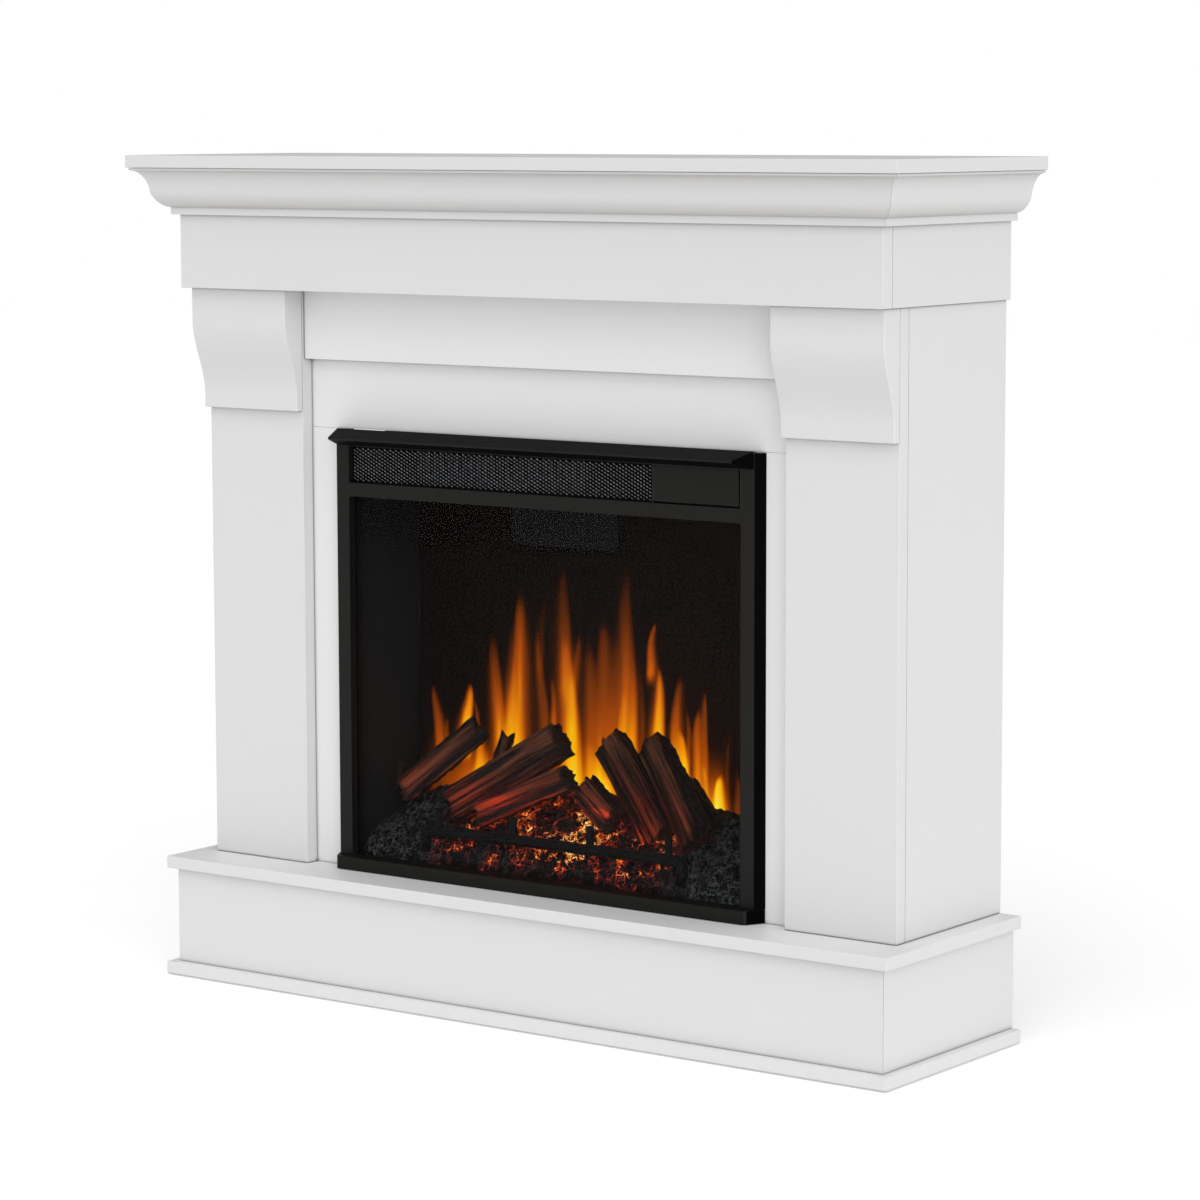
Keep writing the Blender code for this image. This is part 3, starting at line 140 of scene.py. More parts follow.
class Paint:
    """One node material. Each call adds a node and returns its first output."""

    def __init__(self, name, **sockets):
        self.material = bpy.data.materials.new(name)
        self.material.use_nodes = True
        self.tree = self.material.node_tree
        self.tree.nodes.clear()
        output = self.tree.nodes.new("ShaderNodeOutputMaterial")
        self.shader = self.tree.nodes.new("ShaderNodeBsdfPrincipled")
        self.tree.links.new(self.shader.outputs[0], output.inputs["Surface"])
        self.places = self.tree.nodes.new("ShaderNodeTexCoord").outputs["Object"]
        self.set(self.shader, sockets)

    def set(self, target, sockets):
        for key, value in sockets.items():
            socket = target.inputs[key.replace("_", " ") if isinstance(key, str) else key]
            if isinstance(value, bpy.types.NodeSocket):
                self.tree.links.new(value, socket)
            else:
                socket.default_value = value

    def node(self, kind, settings=None, **sockets):
        made = self.tree.nodes.new("ShaderNode" + kind)
        for key, value in (settings or {}).items():
            setattr(made, key, value)
        self.set(made, sockets)
        return made

    def scaled(self, scale):
        node = self.node("Mapping", Vector=self.places, Scale=scale)
        return node.outputs[0]

    def noise(self, scale, detail=3.0, rough=0.55, stretch=(1, 1, 1), distortion=0.0):
        made = self.node("TexNoise", Vector=self.scaled(stretch), Scale=scale, Detail=detail)
        self.set(made, {"Roughness": rough, "Distortion": distortion})
        return made.outputs[0]

    def cell_edges(self, scale, vector):
        """How far each place is from the border of its cell."""
        made = self.node("TexVoronoi", {"feature": "DISTANCE_TO_EDGE"}, Vector=vector, Scale=scale)
        return made.outputs[0]

    def ramp(self, value, stops):
        made = self.node("ValToRGB")
        elements = made.color_ramp.elements
        while len(elements) < len(stops):
            elements.new(0.5)
        for element, (place, colour) in zip(elements, stops):
            element.position = place
            element.color = colour if isinstance(colour, tuple) else (colour, colour, colour, 1)
        self.tree.links.new(value, made.inputs[0])
        return made.outputs[0]

    def grey(self, value):
        return self.node("CombineColor", Red=value, Green=value, Blue=value).outputs[0]

    def math(self, operation, first, second=0.5, clamp=False):
        made = self.node("Math", {"operation": operation, "use_clamp": clamp})
        self.set(made, {0: first, 1: second})
        return made.outputs[0]

    def spread(self, value, low, high):
        """Maps a value that runs from 0 to 1 onto low to high."""
        made = self.node("MapRange")
        self.set(made, {0: value, 3: low, 4: high})
        return made.outputs[0]

    def mix(self, share, first, second, blend="MIX"):
        made = self.node("Mix", {"data_type": "RGBA", "blend_type": blend})
        self.set(made, {0: share, 6: first, 7: second})
        return made.outputs[2]

    def bump(self, height, strength, distance=0.001):
        made = self.node("Bump", Height=height, Strength=strength, Distance=distance)
        self.tree.links.new(made.outputs[0], self.shader.inputs["Normal"])

    def attribute(self, name, output="Fac"):
        return self.node("Attribute", {"attribute_name": name}).outputs[output]

    def use(self, **sockets):
        self.set(self.shader, sockets)
        return self.material


def painted(name, colour, rough, grain, bump, specular, mottle, metallic=0.0, distance=0.0004):
    """Sprayed, powder-coated or moulded skin: fine orange peel, with slight changes in tone and gloss."""
    p = Paint(name, Metallic=metallic, Specular_IOR_Level=specular)
    broad = p.noise(9.0, 2.0)
    fine = p.noise(grain, 2.0)
    tone = p.spread(broad, 1 - mottle, 1 + mottle)
    tint = p.mix(1.0, colour, p.grey(tone), "MULTIPLY")
    p.bump(fine, bump, distance)
    return p.use(Base_Color=tint, Roughness=p.spread(p.math("ADD", broad, fine), rough - 0.1, rough + 0.02))


def brushed(name, colour, rough, stretch=(1, 40, 40)):
    """Bare metal with fine lines, along X unless they are stretched otherwise."""
    p = Paint(name, Metallic=1.0)
    lines = p.noise(40.0, 4.0, 0.7, stretch)
    darker = tuple(channel * 0.6 for channel in colour[:3]) + (1,)
    tint = p.mix(p.spread(lines, 0.0, 0.35), colour, darker)
    p.bump(lines, 0.15, 0.0002)
    return p.use(Base_Color=tint, Roughness=p.spread(lines, rough - 0.08, rough + 0.12))


# Painted light and shade on white board, by how far its face looks up, from 0 straight down to 1 straight up:
# painted shade on downward faces and painted light on upward faces.
BOARD_PAINTED_LIGHT = (
    (0.0, (0.55, 0.54, 0.53, 1)),
    (0.30, (0.745, 0.738, 0.735, 1)),
    (0.5, (0.80, 0.80, 0.80, 1)),
    (1.0, (1, 1, 1, 1)),
)
# Painted shade in the creases and joints between boards, from occlusion over a few millimetres.
SEAM_PAINTED_SHADE = ((0.30, (0.42, 0.41, 0.40, 1)), (0.80, (1, 1, 1, 1)))
SEAM_SHADE_WIDTH = 0.0060


def white_paint(name, tone):
    """Sprayed white board, with painted light on upward faces and painted shade on downward faces and in its
    creases.
    """
    p = Paint(name, Metallic=0.0, Specular_IOR_Level=0.35)
    up = p.node("SeparateXYZ", Vector=p.node("NewGeometry").outputs["Normal"]).outputs[2]
    # Painted light and shade: upward faces lighter and downward faces darker, as light falls on them.
    facing = p.ramp(p.math("ADD", p.math("MULTIPLY", up, 0.5), 0.5), BOARD_PAINTED_LIGHT)
    # Painted shade: creases darkened as far as the occlusion reaches.
    crease_occlusion = p.node("AmbientOcclusion", {"samples": 12}, Distance=SEAM_SHADE_WIDTH)
    painted_crease_shade = p.ramp(crease_occlusion.outputs["AO"], SEAM_PAINTED_SHADE)
    pale_tone = p.spread(p.noise(9.0, 2.0), tone * 0.995, tone * 1.005)
    tint = p.mix(1.0, facing, p.grey(pale_tone), "MULTIPLY")
    tint = p.mix(1.0, tint, painted_crease_shade, "MULTIPLY")
    peel = p.noise(700.0, 2.0)
    p.bump(peel, 0.05, 0.0004)
    return p.use(Base_Color=tint, Roughness=p.spread(peel, 0.38, 0.48))


WHITE_BOARD = white_paint("white_board", 0.835)
# Painted light: a lighter copy of the same white paint, lifting the shade that the lintel and surround get
# under the header.
WHITE_PANEL_PAINTED_LIGHT = white_paint("white_panel_painted_light", 0.93)
# Each skin: its colour, roughness, grain, bump, specular level and mottle.
BLACK_TRIM = painted("black_trim", linear(25, 24, 22), 0.50, 1500.0, 0.22, 0.22, 0.06)
HOOD_TRIM = painted("hood_trim", linear(13, 9, 7), 0.60, 1500.0, 0.22, 0.06, 0.06)
# Painted shade: a near-black copy of the trim black for the trim's side faces at its ends, where shade falls.
SIDE_PAINTED_SHADE = painted("frame_side_painted_shade", linear(6, 6, 6), 0.60, 1500.0, 0.15, 0.04, 0.06)
FIREBOX_BLACK = painted("firebox_black", linear(20, 19, 20), 0.62, 1100.0, 0.20, 0.18, 0.10)
BAFFLE_BLACK = painted("baffle_black", linear(11, 11, 14), 0.50, 1100.0, 0.12, 0.10, 0.08)
BLACK_PLASTIC = painted("black_plastic", linear(30, 30, 30), 0.48, 2200.0, 0.30, 0.45, 0.04)
SWITCH_PLASTIC = painted("switch_plastic", linear(105, 105, 108), 0.42, 2600.0, 0.22, 0.5, 0.03)
GRATE_BLACK = painted("grate_black", linear(9, 9, 9), 0.70, 420.0, 0.6, 0.15, 0.25, distance=0.0008)
GALVANISED = painted("galvanised", (0.52, 0.53, 0.55, 1), 0.40, 160.0, 0.05, 0.5, 0.10, metallic=0.9)
STEEL = brushed("bright_steel", (0.62, 0.62, 0.63, 1), 0.30)
FINS = brushed("heater_fins", (0.045, 0.045, 0.05, 1), 0.45, (40, 1, 40))
BLOWER_BLACK = painted("blower_black", linear(15, 15, 16), 0.5, 600.0, 0.15, 0.2, 0.10)


def circuit_board():
    """Green solder mask over fine copper tracks."""
    p = Paint("circuit_board", Metallic=0.0)
    tracks = p.ramp(p.cell_edges(260.0, p.places), [(0.0, 1.0), (0.06, 1.0), (0.09, 0.0)])
    tint = p.mix(tracks, (0.012, 0.10, 0.035, 1), (0.05, 0.22, 0.08, 1))
    p.bump(tracks, 0.3, 0.0001)
    return p.use(Base_Color=tint, Roughness=p.spread(p.noise(80.0), 0.32, 0.48))


def pane():
    """Clear toughened glass with a faint grey body and a light haze of dust."""
    p = Paint("front_glass", IOR=1.5, Specular_IOR_Level=0.5)
    haze = p.noise(14.0, 5.0, 0.65)
    return p.use(Base_Color=(0.01, 0.01, 0.01, 1), Alpha=0.04, Roughness=p.spread(haze, 0.03, 0.08))


def mesh_steel():
    """Black expanded mesh with the middles of its falling strands pale grey."""
    p = Paint("mesh_steel", Metallic=0.0, Specular_IOR_Level=0.2)
    bead = p.ramp(p.noise(200.0, 2.0), [(0.36, 0.5), (0.60, 1.0)])
    tint = p.mix(p.math("MULTIPLY", bead, p.attribute("pale_tone")), linear(3, 3, 3), linear(138, 141, 145))
    p.bump(p.noise(900.0), 0.2, 0.0002)
    return p.use(Base_Color=tint, Roughness=p.spread(p.noise(300.0), 0.4, 0.6))


# Emission colour of embers, from cold to nearly white-hot.
GLOW_STOPS = (
    (0.0, (0, 0, 0, 1)),
    (0.25, linear(70, 8, 4)),
    (0.5, linear(200, 58, 12)),
    (0.75, linear(255, 135, 42)),
    (1.0, linear(255, 214, 120)),
)


def ember_material():
    """Crusted charcoal, near black, with pale ash veins where cold and glowing veins where hot."""
    p = Paint("ember_crust", Metallic=0.0, Specular_IOR_Level=0.14)
    heat = p.attribute("glow_light")
    ash = p.attribute("ash")
    wobble = p.node("TexNoise", Vector=p.places, Scale=130.0, Detail=2.0).outputs[1]
    bent = p.node("Mix", {"data_type": "VECTOR"})
    p.set(bent, {0: 0.016, 4: p.places, 5: wobble})
    veins = []
    for scale, thin in ((82.0, 0.050), (185.0, 0.085)):
        edges = p.cell_edges(scale, bent.outputs[1])
        veins.append(p.ramp(edges, [(0.0, 1.0), (thin * 0.5, 0.85), (thin, 0.0)]))
    breaks = p.ramp(p.noise(62.0, 3.0, 0.6), [(0.44, 0.0), (0.54, 1.0)])
    fine = p.math("MULTIPLY", veins[1], p.ramp(p.noise(120.0, 2.0), [(0.46, 0.0), (0.58, 0.75)]))
    lines = p.math("MAXIMUM", p.math("MULTIPLY", veins[0], breaks), fine)
    grit = p.noise(520.0, 4.0)
    coal = p.mix(grit, linear(0, 0, 0), linear(11, 10, 10))
    tint = p.mix(p.math("MULTIPLY", lines, p.math("MULTIPLY", ash, 0.50)), coal, linear(112, 118, 122))
    under = p.math("MULTIPLY", p.spread(p.noise(60.0, 4.0, 0.65), -0.45, 0.55), 0.55, True)
    lit = p.math("MULTIPLY", heat, p.math("ADD", p.math("MULTIPLY", lines, 1.95), under), True)
    p.bump(p.math("ADD", grit, p.math("MULTIPLY", lines, 0.8)), 0.8, 0.0010)
    return p.use(
        Base_Color=tint,
        Roughness=p.spread(grit, 0.45, 0.85),
        Emission_Color=p.ramp(lit, GLOW_STOPS),
        Emission_Strength=1.25,
    )


def log_material():
    """Split wood with grain along X: brown faces and black bark and char, with painted light from the ember
    bed: a red tint in the lower wood and bright grain lines as emission.
    """
    p = Paint("log_resin", Metallic=0.0, Specular_IOR_Level=0.15)
    grain = p.noise(85.0, 5.0, 0.7, (0.05, 1, 1), 0.4)
    hair = p.noise(175.0, 3.0, 0.6, (0.025, 1, 1), 0.25)
    browns = ((0.34, (8, 4, 3)), (0.46, (46, 23, 14)), (0.58, (82, 48, 33)), (0.70, (24, 11, 7)))
    wood = p.ramp(grain, [(place, linear(*colour)) for place, colour in browns])
    wood = p.mix(p.ramp(hair, [(0.42, 0.95), (0.48, 0.0)]), wood, linear(7, 3, 2))
    wood = p.mix(p.ramp(hair, [(0.55, 0.0), (0.62, 0.50)]), wood, linear(122, 84, 60))
    # Painted light: the bed's red glow painted into the wood's colour where the logs sit low.
    painted_glow_tint = p.ramp(grain, [(0.38, linear(14, 2, 1)), (0.50, linear(96, 20, 8)), (0.62, linear(150, 52, 20))])
    painted_glow_tint = p.mix(p.ramp(hair, [(0.42, 0.9), (0.49, 0.0)]), painted_glow_tint, linear(8, 2, 1))
    wood = p.mix(p.attribute("painted_red_glow"), wood, painted_glow_tint)
    bark = p.mix(p.noise(260.0, 5.0, 0.75), linear(1, 1, 1), linear(30, 19, 14))
    tint = p.mix(p.attribute("char"), wood, bark)
    # Painted glow: bright grain lines as emission where the bed's glow is painted on.
    lines = p.ramp(hair, [(0.54, 0.0), (0.575, 1.0), (0.60, 0.0)])
    lit = p.math("MULTIPLY", p.attribute("glow_light"), lines, True)
    p.bump(p.math("ADD", p.math("MULTIPLY", grain, 1.3), hair), 1.0, 0.0026)
    return p.use(
        Base_Color=tint,
        Roughness=p.spread(hair, 0.5, 0.85),
        Emission_Color=p.ramp(lit, GLOW_STOPS),
        Emission_Strength=1.1,
    )


def flame_material():
    """Smoked acrylic, lit from behind by the flame picture held in the mesh's own colours."""
    p = Paint("flame_picture", Metallic=0.0, Specular_IOR_Level=0.03)
    streaks = p.noise(60.0, 3.0, 0.5, (1, 1, 0.12))
    shade = p.grey(p.spread(streaks, 0.80, 1.2))
    colour = p.mix(1.0, p.attribute("picture", "Color"), shade, "MULTIPLY")
    return p.use(
        Base_Color=linear(7, 6, 6),
        Roughness=p.spread(p.noise(30.0), 0.45, 0.6),
        Emission_Color=colour,
        Emission_Strength=1.0,
    )


EMBERS = ember_material()
LOG = log_material()
FLAME = flame_material()
MESH_STEEL = mesh_steel()
GLASS = pane()
CIRCUIT = circuit_board()

BY_SLOT = {
    "white_mdf": WHITE_BOARD,
    "black_trim": BLACK_TRIM,
    "hood_trim": HOOD_TRIM,
    "vent_mesh": MESH_STEEL,
    "front_glass": GLASS,
    "black_plastic": BLACK_PLASTIC,
    "steel": STEEL,
    "switch_plastic": SWITCH_PLASTIC,
    "circuit_board": CIRCUIT,
    "firebox_black": FIREBOX_BLACK,
    "flame_screen": FLAME,
    "embers": EMBERS,
    "grate_black": GRATE_BLACK,
    "log_resin": LOG,
    "galvanised": GALVANISED,
    "heater_block": FINS,
}
# The nodes that look different from the rest of their slot; the lintel and surround get the lighter copy of
# the white paint as painted light.
BY_NODE = {
    "heat_baffle": BAFFLE_BLACK,
    "lintel_panel": WHITE_PANEL_PAINTED_LIGHT,
    "surround_left": WHITE_PANEL_PAINTED_LIGHT,
    "surround_right": WHITE_PANEL_PAINTED_LIGHT,
    "surround_top": WHITE_PANEL_PAINTED_LIGHT,
    "blower_wheel": BLOWER_BLACK,
    "blower_motor": BLOWER_BLACK,
}


def dress(node, material):
    """Gives a CAD node its material, and rounds its facets where they meet at a small angle."""
    mesh = node.data
    mesh.materials.clear()
    mesh.materials.append(material)
    for name in ("custom_normal", "sharp_edge", "sharp_face"):
        if name in mesh.attributes:
            mesh.attributes.remove(mesh.attributes[name])
    mesh.polygons.foreach_set("use_smooth", [True] * len(mesh.polygons))
    mesh.polygons.foreach_set("material_index", [0] * len(mesh.polygons))
    node.modifiers.new("weld", "WELD").merge_threshold = WELD_GAP
    node.modifiers.new("creases", "EDGE_SPLIT").split_angle = math.radians(CREASE_ANGLE)
    node.modifiers.new("flat_faces", "WEIGHTED_NORMAL").keep_sharp = True


def paint_shade_on_trim_sides(name):
    """Gives a trim piece painted shade, near black, on the side faces at its ends, and the hood the plain
    trim black on its lip.
    """
    trim = NODES[name]
    trim.data.materials.append(SIDE_PAINTED_SHADE)
    trim.data.materials.append(BLACK_TRIM)
    half = max(abs((trim.matrix_world @ v.co).x) for v in trim.data.vertices)
    for face in trim.data.polygons:
        if abs(face.normal.x) > 0.5 and abs((trim.matrix_world @ face.center).x) > half - TRIM_END:
            face.material_index = 1
        elif name == "insert_hood" and face.normal.y < -0.7:
            face.material_index = 2


for row in frame["record"]["subparts"]:
    dress(NODES[row["node"]], BY_NODE.get(row["node"], BY_SLOT[row["material_slot"]]))
for name in ("insert_frame", "insert_hood", "insert_sill"):
    paint_shade_on_trim_sides(name)


# ---------------------------------------------------------------- pieces
def piece(name, vertices, faces, material, slot, replaces=(), smooth=True, attributes=None, matrix=None):
    """A new piece that rides on the cabinet."""
    mesh = bpy.data.meshes.new(name)
    mesh.from_pydata(vertices, [], faces)
    mesh.update()
    for key, values in (attributes or {}).items():
        values = np.asarray(values, np.float32)
        if values.ndim == 2:
            mesh.attributes.new(key, "FLOAT_COLOR", "POINT").data.foreach_set("color", values.ravel())
        else:
            mesh.attributes.new(key, "FLOAT", "POINT").data.foreach_set("value", values)
    bm = bmesh.new()
    bm.from_mesh(mesh)
    bmesh.ops.recalc_face_normals(bm, faces=bm.faces)
    bm.to_mesh(mesh)
    bm.free()
    mesh.polygons.foreach_set("use_smooth", [smooth] * len(mesh.polygons))
    mesh.materials.append(material)
    made = bpy.data.objects.new(name, mesh)
    bpy.context.scene.collection.objects.link(made)
    if matrix is not None:
        made.matrix_world = matrix
    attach(made, "cabinet")
    if replaces:
        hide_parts(*replaces)


def grid_faces(rows, columns, wrap=False):
    """Faces over points laid out row by row."""
    faces = []
    for row in range(rows - 1):
        low, high = row * columns, (row + 1) * columns
        for c in range(columns if wrap else columns - 1):
            after = (c + 1) % columns
            faces.append((low + c, low + after, high + after, high + c))
    return faces


def skirt(rows, columns):
    """The rim of a grid's points in order, and the faces that join it to a second rim and close that."""
    edge = list(range(columns))
    edge += [r * columns + columns - 1 for r in range(1, rows)]
    edge += [(rows - 1) * columns + c for c in range(columns - 2, -1, -1)]
    edge += [r * columns for r in range(rows - 2, 0, -1)]
    count, around = rows * columns, len(edge)
    faces = []
    for i in range(around):
        after = (i + 1) % around
        faces.append((edge[i], count + i, count + after, edge[after]))
    faces.append(tuple(range(count, count + around)))
    return edge, faces


# ---------------------------------------------------------------- the flame picture
# Each tongue: x and z of its foot, x and z of its tip, half-width, heat at its foot and near its tip.
TONGUES = (
    (-0.2365, 0.262, -0.2470, 0.345, 0.0085, 0.62, 0.40),
    (-0.2270, 0.262, -0.2285, 0.306, 0.0040, 0.50, 0.30),
    (-0.2030, 0.270, -0.1955, 0.350, 0.0090, 1.05, 0.70),
    (-0.1850, 0.285, -0.1860, 0.330, 0.0030, 0.50, 0.35),
    (-0.1500, 0.262, -0.1625, 0.418, 0.0120, 0.95, 0.14),
    (-0.1400, 0.300, -0.1360, 0.430, 0.0050, 0.40, 0.16),
    (-0.1280, 0.262, -0.1170, 0.470, 0.0160, 0.98, 0.30),
    (-0.0880, 0.270, -0.0960, 0.425, 0.0075, 0.42, 0.36),
    (-0.0940, 0.370, -0.0840, 0.468, 0.0050, 0.30, 0.10),
    (-0.0730, 0.280, -0.0760, 0.368, 0.0055, 0.72, 0.38),
    (-0.0500, 0.235, -0.0560, 0.430, 0.0155, 1.12, 0.50),
    (-0.0560, 0.350, -0.0625, 0.500, 0.0120, 0.55, 0.18),
    (-0.0480, 0.300, -0.0360, 0.424, 0.0080, 0.70, 0.26),
    (-0.0200, 0.230, -0.0210, 0.420, 0.0160, 0.78, 0.16),
    (-0.0100, 0.225, -0.0260, 0.300, 0.0200, 1.15, 0.40),
    (0.0060, 0.290, -0.0070, 0.442, 0.0170, 0.46, 0.26),
    (0.0110, 0.255, 0.0150, 0.430, 0.0150, 0.62, 0.18),
    (0.0290, 0.265, 0.0300, 0.520, 0.0140, 0.92, 0.10),
    (0.0260, 0.262, 0.0240, 0.365, 0.0090, 0.95, 0.45),
    (0.0400, 0.280, 0.0385, 0.410, 0.0060, 0.62, 0.14),
    (0.0500, 0.280, 0.0505, 0.395, 0.0040, 0.40, 0.12),
    (0.0625, 0.378, 0.0672, 0.440, 0.0050, 0.66, 0.50),
    (0.0720, 0.250, 0.0705, 0.395, 0.0105, 1.12, 0.62),
    (0.0740, 0.205, 0.0700, 0.300, 0.0140, 1.25, 0.80),
    (0.0980, 0.250, 0.1020, 0.390, 0.0095, 1.08, 0.14),
    (0.1090, 0.235, 0.0990, 0.325, 0.0100, 1.15, 0.70),
    (0.1130, 0.280, 0.1135, 0.345, 0.0035, 0.50, 0.24),
    (0.1270, 0.240, 0.1290, 0.350, 0.0090, 0.80, 0.52),
    (0.1350, 0.270, 0.1330, 0.370, 0.0050, 0.62, 0.40),
    (0.1350, 0.205, 0.1330, 0.290, 0.0065, 1.08, 0.70),
    (0.1540, 0.195, 0.1600, 0.278, 0.0125, 1.35, 1.10),
    (0.1670, 0.225, 0.1665, 0.330, 0.0035, 0.36, 0.14),
    (0.1800, 0.205, 0.1790, 0.282, 0.0060, 0.44, 0.20),
    (-0.1780, 0.225, -0.1760, 0.290, 0.0140, 1.10, 0.60),
    (-0.0880, 0.215, -0.0850, 0.275, 0.0160, 1.10, 0.70),
    (-0.2520, 0.225, -0.2500, 0.295, 0.0100, 0.40, 0.16),
)
# The brightest places low in the picture: x, half-width and heat.
FLAME_HEARTS = ((-0.015, 0.045, 0.55), (0.075, 0.030, 0.45), (0.150, 0.030, 0.50), (-0.180, 0.025, 0.35))
# Overlapping tongues are added in this power, so that the hottest shows.
HOTTEST_WINS = 3.5
PICTURE_STEP = 0.0018


def wisp_noise(x, z, across, upward, seed):
    """Noise over the picture, with this many cells to a metre each way."""
    return noise(np.stack([x * across, z * upward, x * 0], axis=1), seed)


def flame_heat(x, z):
    """How hot the flame picture is at each point."""
    drift = wisp_noise(x, z, 28, 16, 5)
    wisps = wisp_noise(x, z, 230, 11, 15) + 0.6 * wisp_noise(x, z, 90, 7, 16)
    total = np.zeros(len(x))
    for index, (foot_x, foot_z, tip_x, tip_z, half, foot_heat, tip_heat) in enumerate(TONGUES):
        rise = (z - foot_z) / (tip_z - foot_z)
        inside = np.clip(rise, 0, 1)
        sway = 0.0030 * np.sin(inside * 5.5 + index * 1.9) * inside
        middle = foot_x + (tip_x - foot_x) * inside**1.3 + sway + 0.0016 * drift
        width = half * (1.12 - 0.12 * inside) * (1 - inside**2.2) ** 0.8 + 0.0005
        across = (x - middle) / width
        # One side of each tongue is crisp and the other fades.
        crisp_side = 1 if index % 3 else -1
        crisp = np.abs(across) ** 4.5 * 0.8
        soft = np.abs(across) ** 1.7
        edge = np.exp(-np.where(across * crisp_side > 0, crisp, soft))
        heat = 1.14 * foot_heat + (0.86 * tip_heat - 1.14 * foot_heat) * inside**0.75
        fade = smoothstep(1.02, 0.80, rise) * smoothstep(-0.35, 0.05, rise)
        total += (edge * heat * fade * (1 + 0.13 * wisps)).clip(0) ** HOTTEST_WINS
    hearts = sum(most * np.exp(-(((x - centre) / wide) ** 2)) for centre, wide, most in FLAME_HEARTS)
    bed = (0.60 + hearts) * smoothstep(0.315, 0.215, z) * (0.8 + 0.2 * wisp_noise(x, z, 45, 10, 9))
    ends = smoothstep(0.268, 0.225, -x) * smoothstep(0.182, 0.150, x)
    haze = 0.10 * smoothstep(0.54, 0.30, z) * smoothstep(0.30, 0.08, np.abs(x - 0.02))
    total = (total + (bed * ends).clip(0) ** HOTTEST_WINS) ** (1 / HOTTEST_WINS)
    return total + haze * (1 - total).clip(0)


def flame_colours(heat):
    """Linear colours for heat from 0 to about 1.3, by way of display values."""
    at = [0.0, 0.08, 0.2, 0.4, 0.6, 0.8, 1.0, 1.25]
    red = [15, 24, 52, 112, 176, 232, 255, 255]
    green = [11, 14, 24, 50, 78, 134, 186, 222]
    blue = [10, 10, 7, 3, 2, 4, 14, 60]
    channels = [(np.interp(heat, at, c) / 255) ** 2.2 for c in (red, green, blue)]
    return np.stack([*channels, np.ones(len(heat))], axis=1)


def build_flame_picture():
    """The flame screen, with the flames as a colour at each point of its front."""
    low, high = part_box("flame_screen")
    columns = int((high.x - low.x) / PICTURE_STEP) + 1
    rows = int((high.z - low.z) / PICTURE_STEP) + 1
    x, z = np.meshgrid(np.linspace(low.x, high.x, columns), np.linspace(low.z, high.z, rows))
    x, z = x.ravel(), z.ravel()
    front = np.stack([x, np.full(len(x), low.y), z], axis=1)
    edge, sides = skirt(rows, columns)
    rim = front[edge] + [0, high.y - low.y, 0]
    points = np.concatenate([front, rim])
    colours = flame_colours(flame_heat(points[:, 0], points[:, 2]))
    colours[len(front) :] = (0, 0, 0, 1)
    made = {"replaces": ["flame_screen"], "attributes": {"picture": colours}, "smooth": False}
    piece("flame_picture", points, grid_faces(rows, columns) + sides, FLAME, "flame_screen", **made)


# ---------------------------------------------------------------- the ember bed
BED_LOW, BED_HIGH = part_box("ember_bed")
BED_FRONT_REACH = WALL_Y - BED_LOW.y
BED_BACK_REACH = WALL_Y - BED_HIGH.y
BED_EDGE = 0.1549
BED_RISE = 0.0800
BED_HALF = BED_HIGH.x
BED_COLUMNS = 480
BED_ROWS = 110
LUMPS = 420
# Cells to a metre for the big and the small lumps of the crust.
BIG_CELLS = 105
SMALL_CELLS = 260


def bed_height(x, reach):
    """The bed's mean top, as in the part but for a further fall at its left end."""
    run = ((BED_FRONT_REACH - 0.0010 - reach) / (BED_FRONT_REACH - BED_BACK_REACH)).clip(0)
    steep = 1 - np.exp(-run * 9.0)
    gentle = np.minimum(1.0, run * 1.25)
    side = x / BED_HALF
    across = 1 - 0.22 * np.abs(side) ** 3 - 0.26 * side.clip(0) ** 8 - 0.22 * (-side).clip(0) ** 9
    return BED_EDGE + BED_RISE * (0.42 * steep + 0.58 * gentle) * across


# The hottest places on the bed: x, height, half-width, half-height and heat.
HOT_PATCHES = (
    (-0.125, 0.206, 0.030, 0.012, 1.2),
    (-0.060, 0.200, 0.040, 0.014, 0.45),
    (0.008, 0.206, 0.044, 0.020, 1.45),
    (0.075, 0.196, 0.030, 0.014, 0.55),
    (0.132, 0.200, 0.024, 0.014, 1.0),
)


def bed_heat(points, border):
    """Where the bed glows: hottest low in the middle, behind the bar, and cold at both ends."""
    x, reach, z = points[:, 0], WALL_Y - points[:, 1], points[:, 2]
    middle = smoothstep(0.20, 0.12, np.abs(x + 0.005))
    heat = 0.52 * np.exp(-(((z - 0.176) / 0.011) ** 2)) + 0.20
    for centre, height, wide, tall, most in HOT_PATCHES:
        heat = heat + most * np.exp(-(((x - centre) / wide) ** 2) - ((z - height) / tall) ** 2)
    patches = (0.52 + 0.85 * noise(points * 48, 21) + 0.35 * noise(points * 110, 22)).clip(0)
    seams = np.exp(-border / 0.10)
    return (heat * middle * patches * (0.55 + 0.8 * seams)).clip(0, 1)


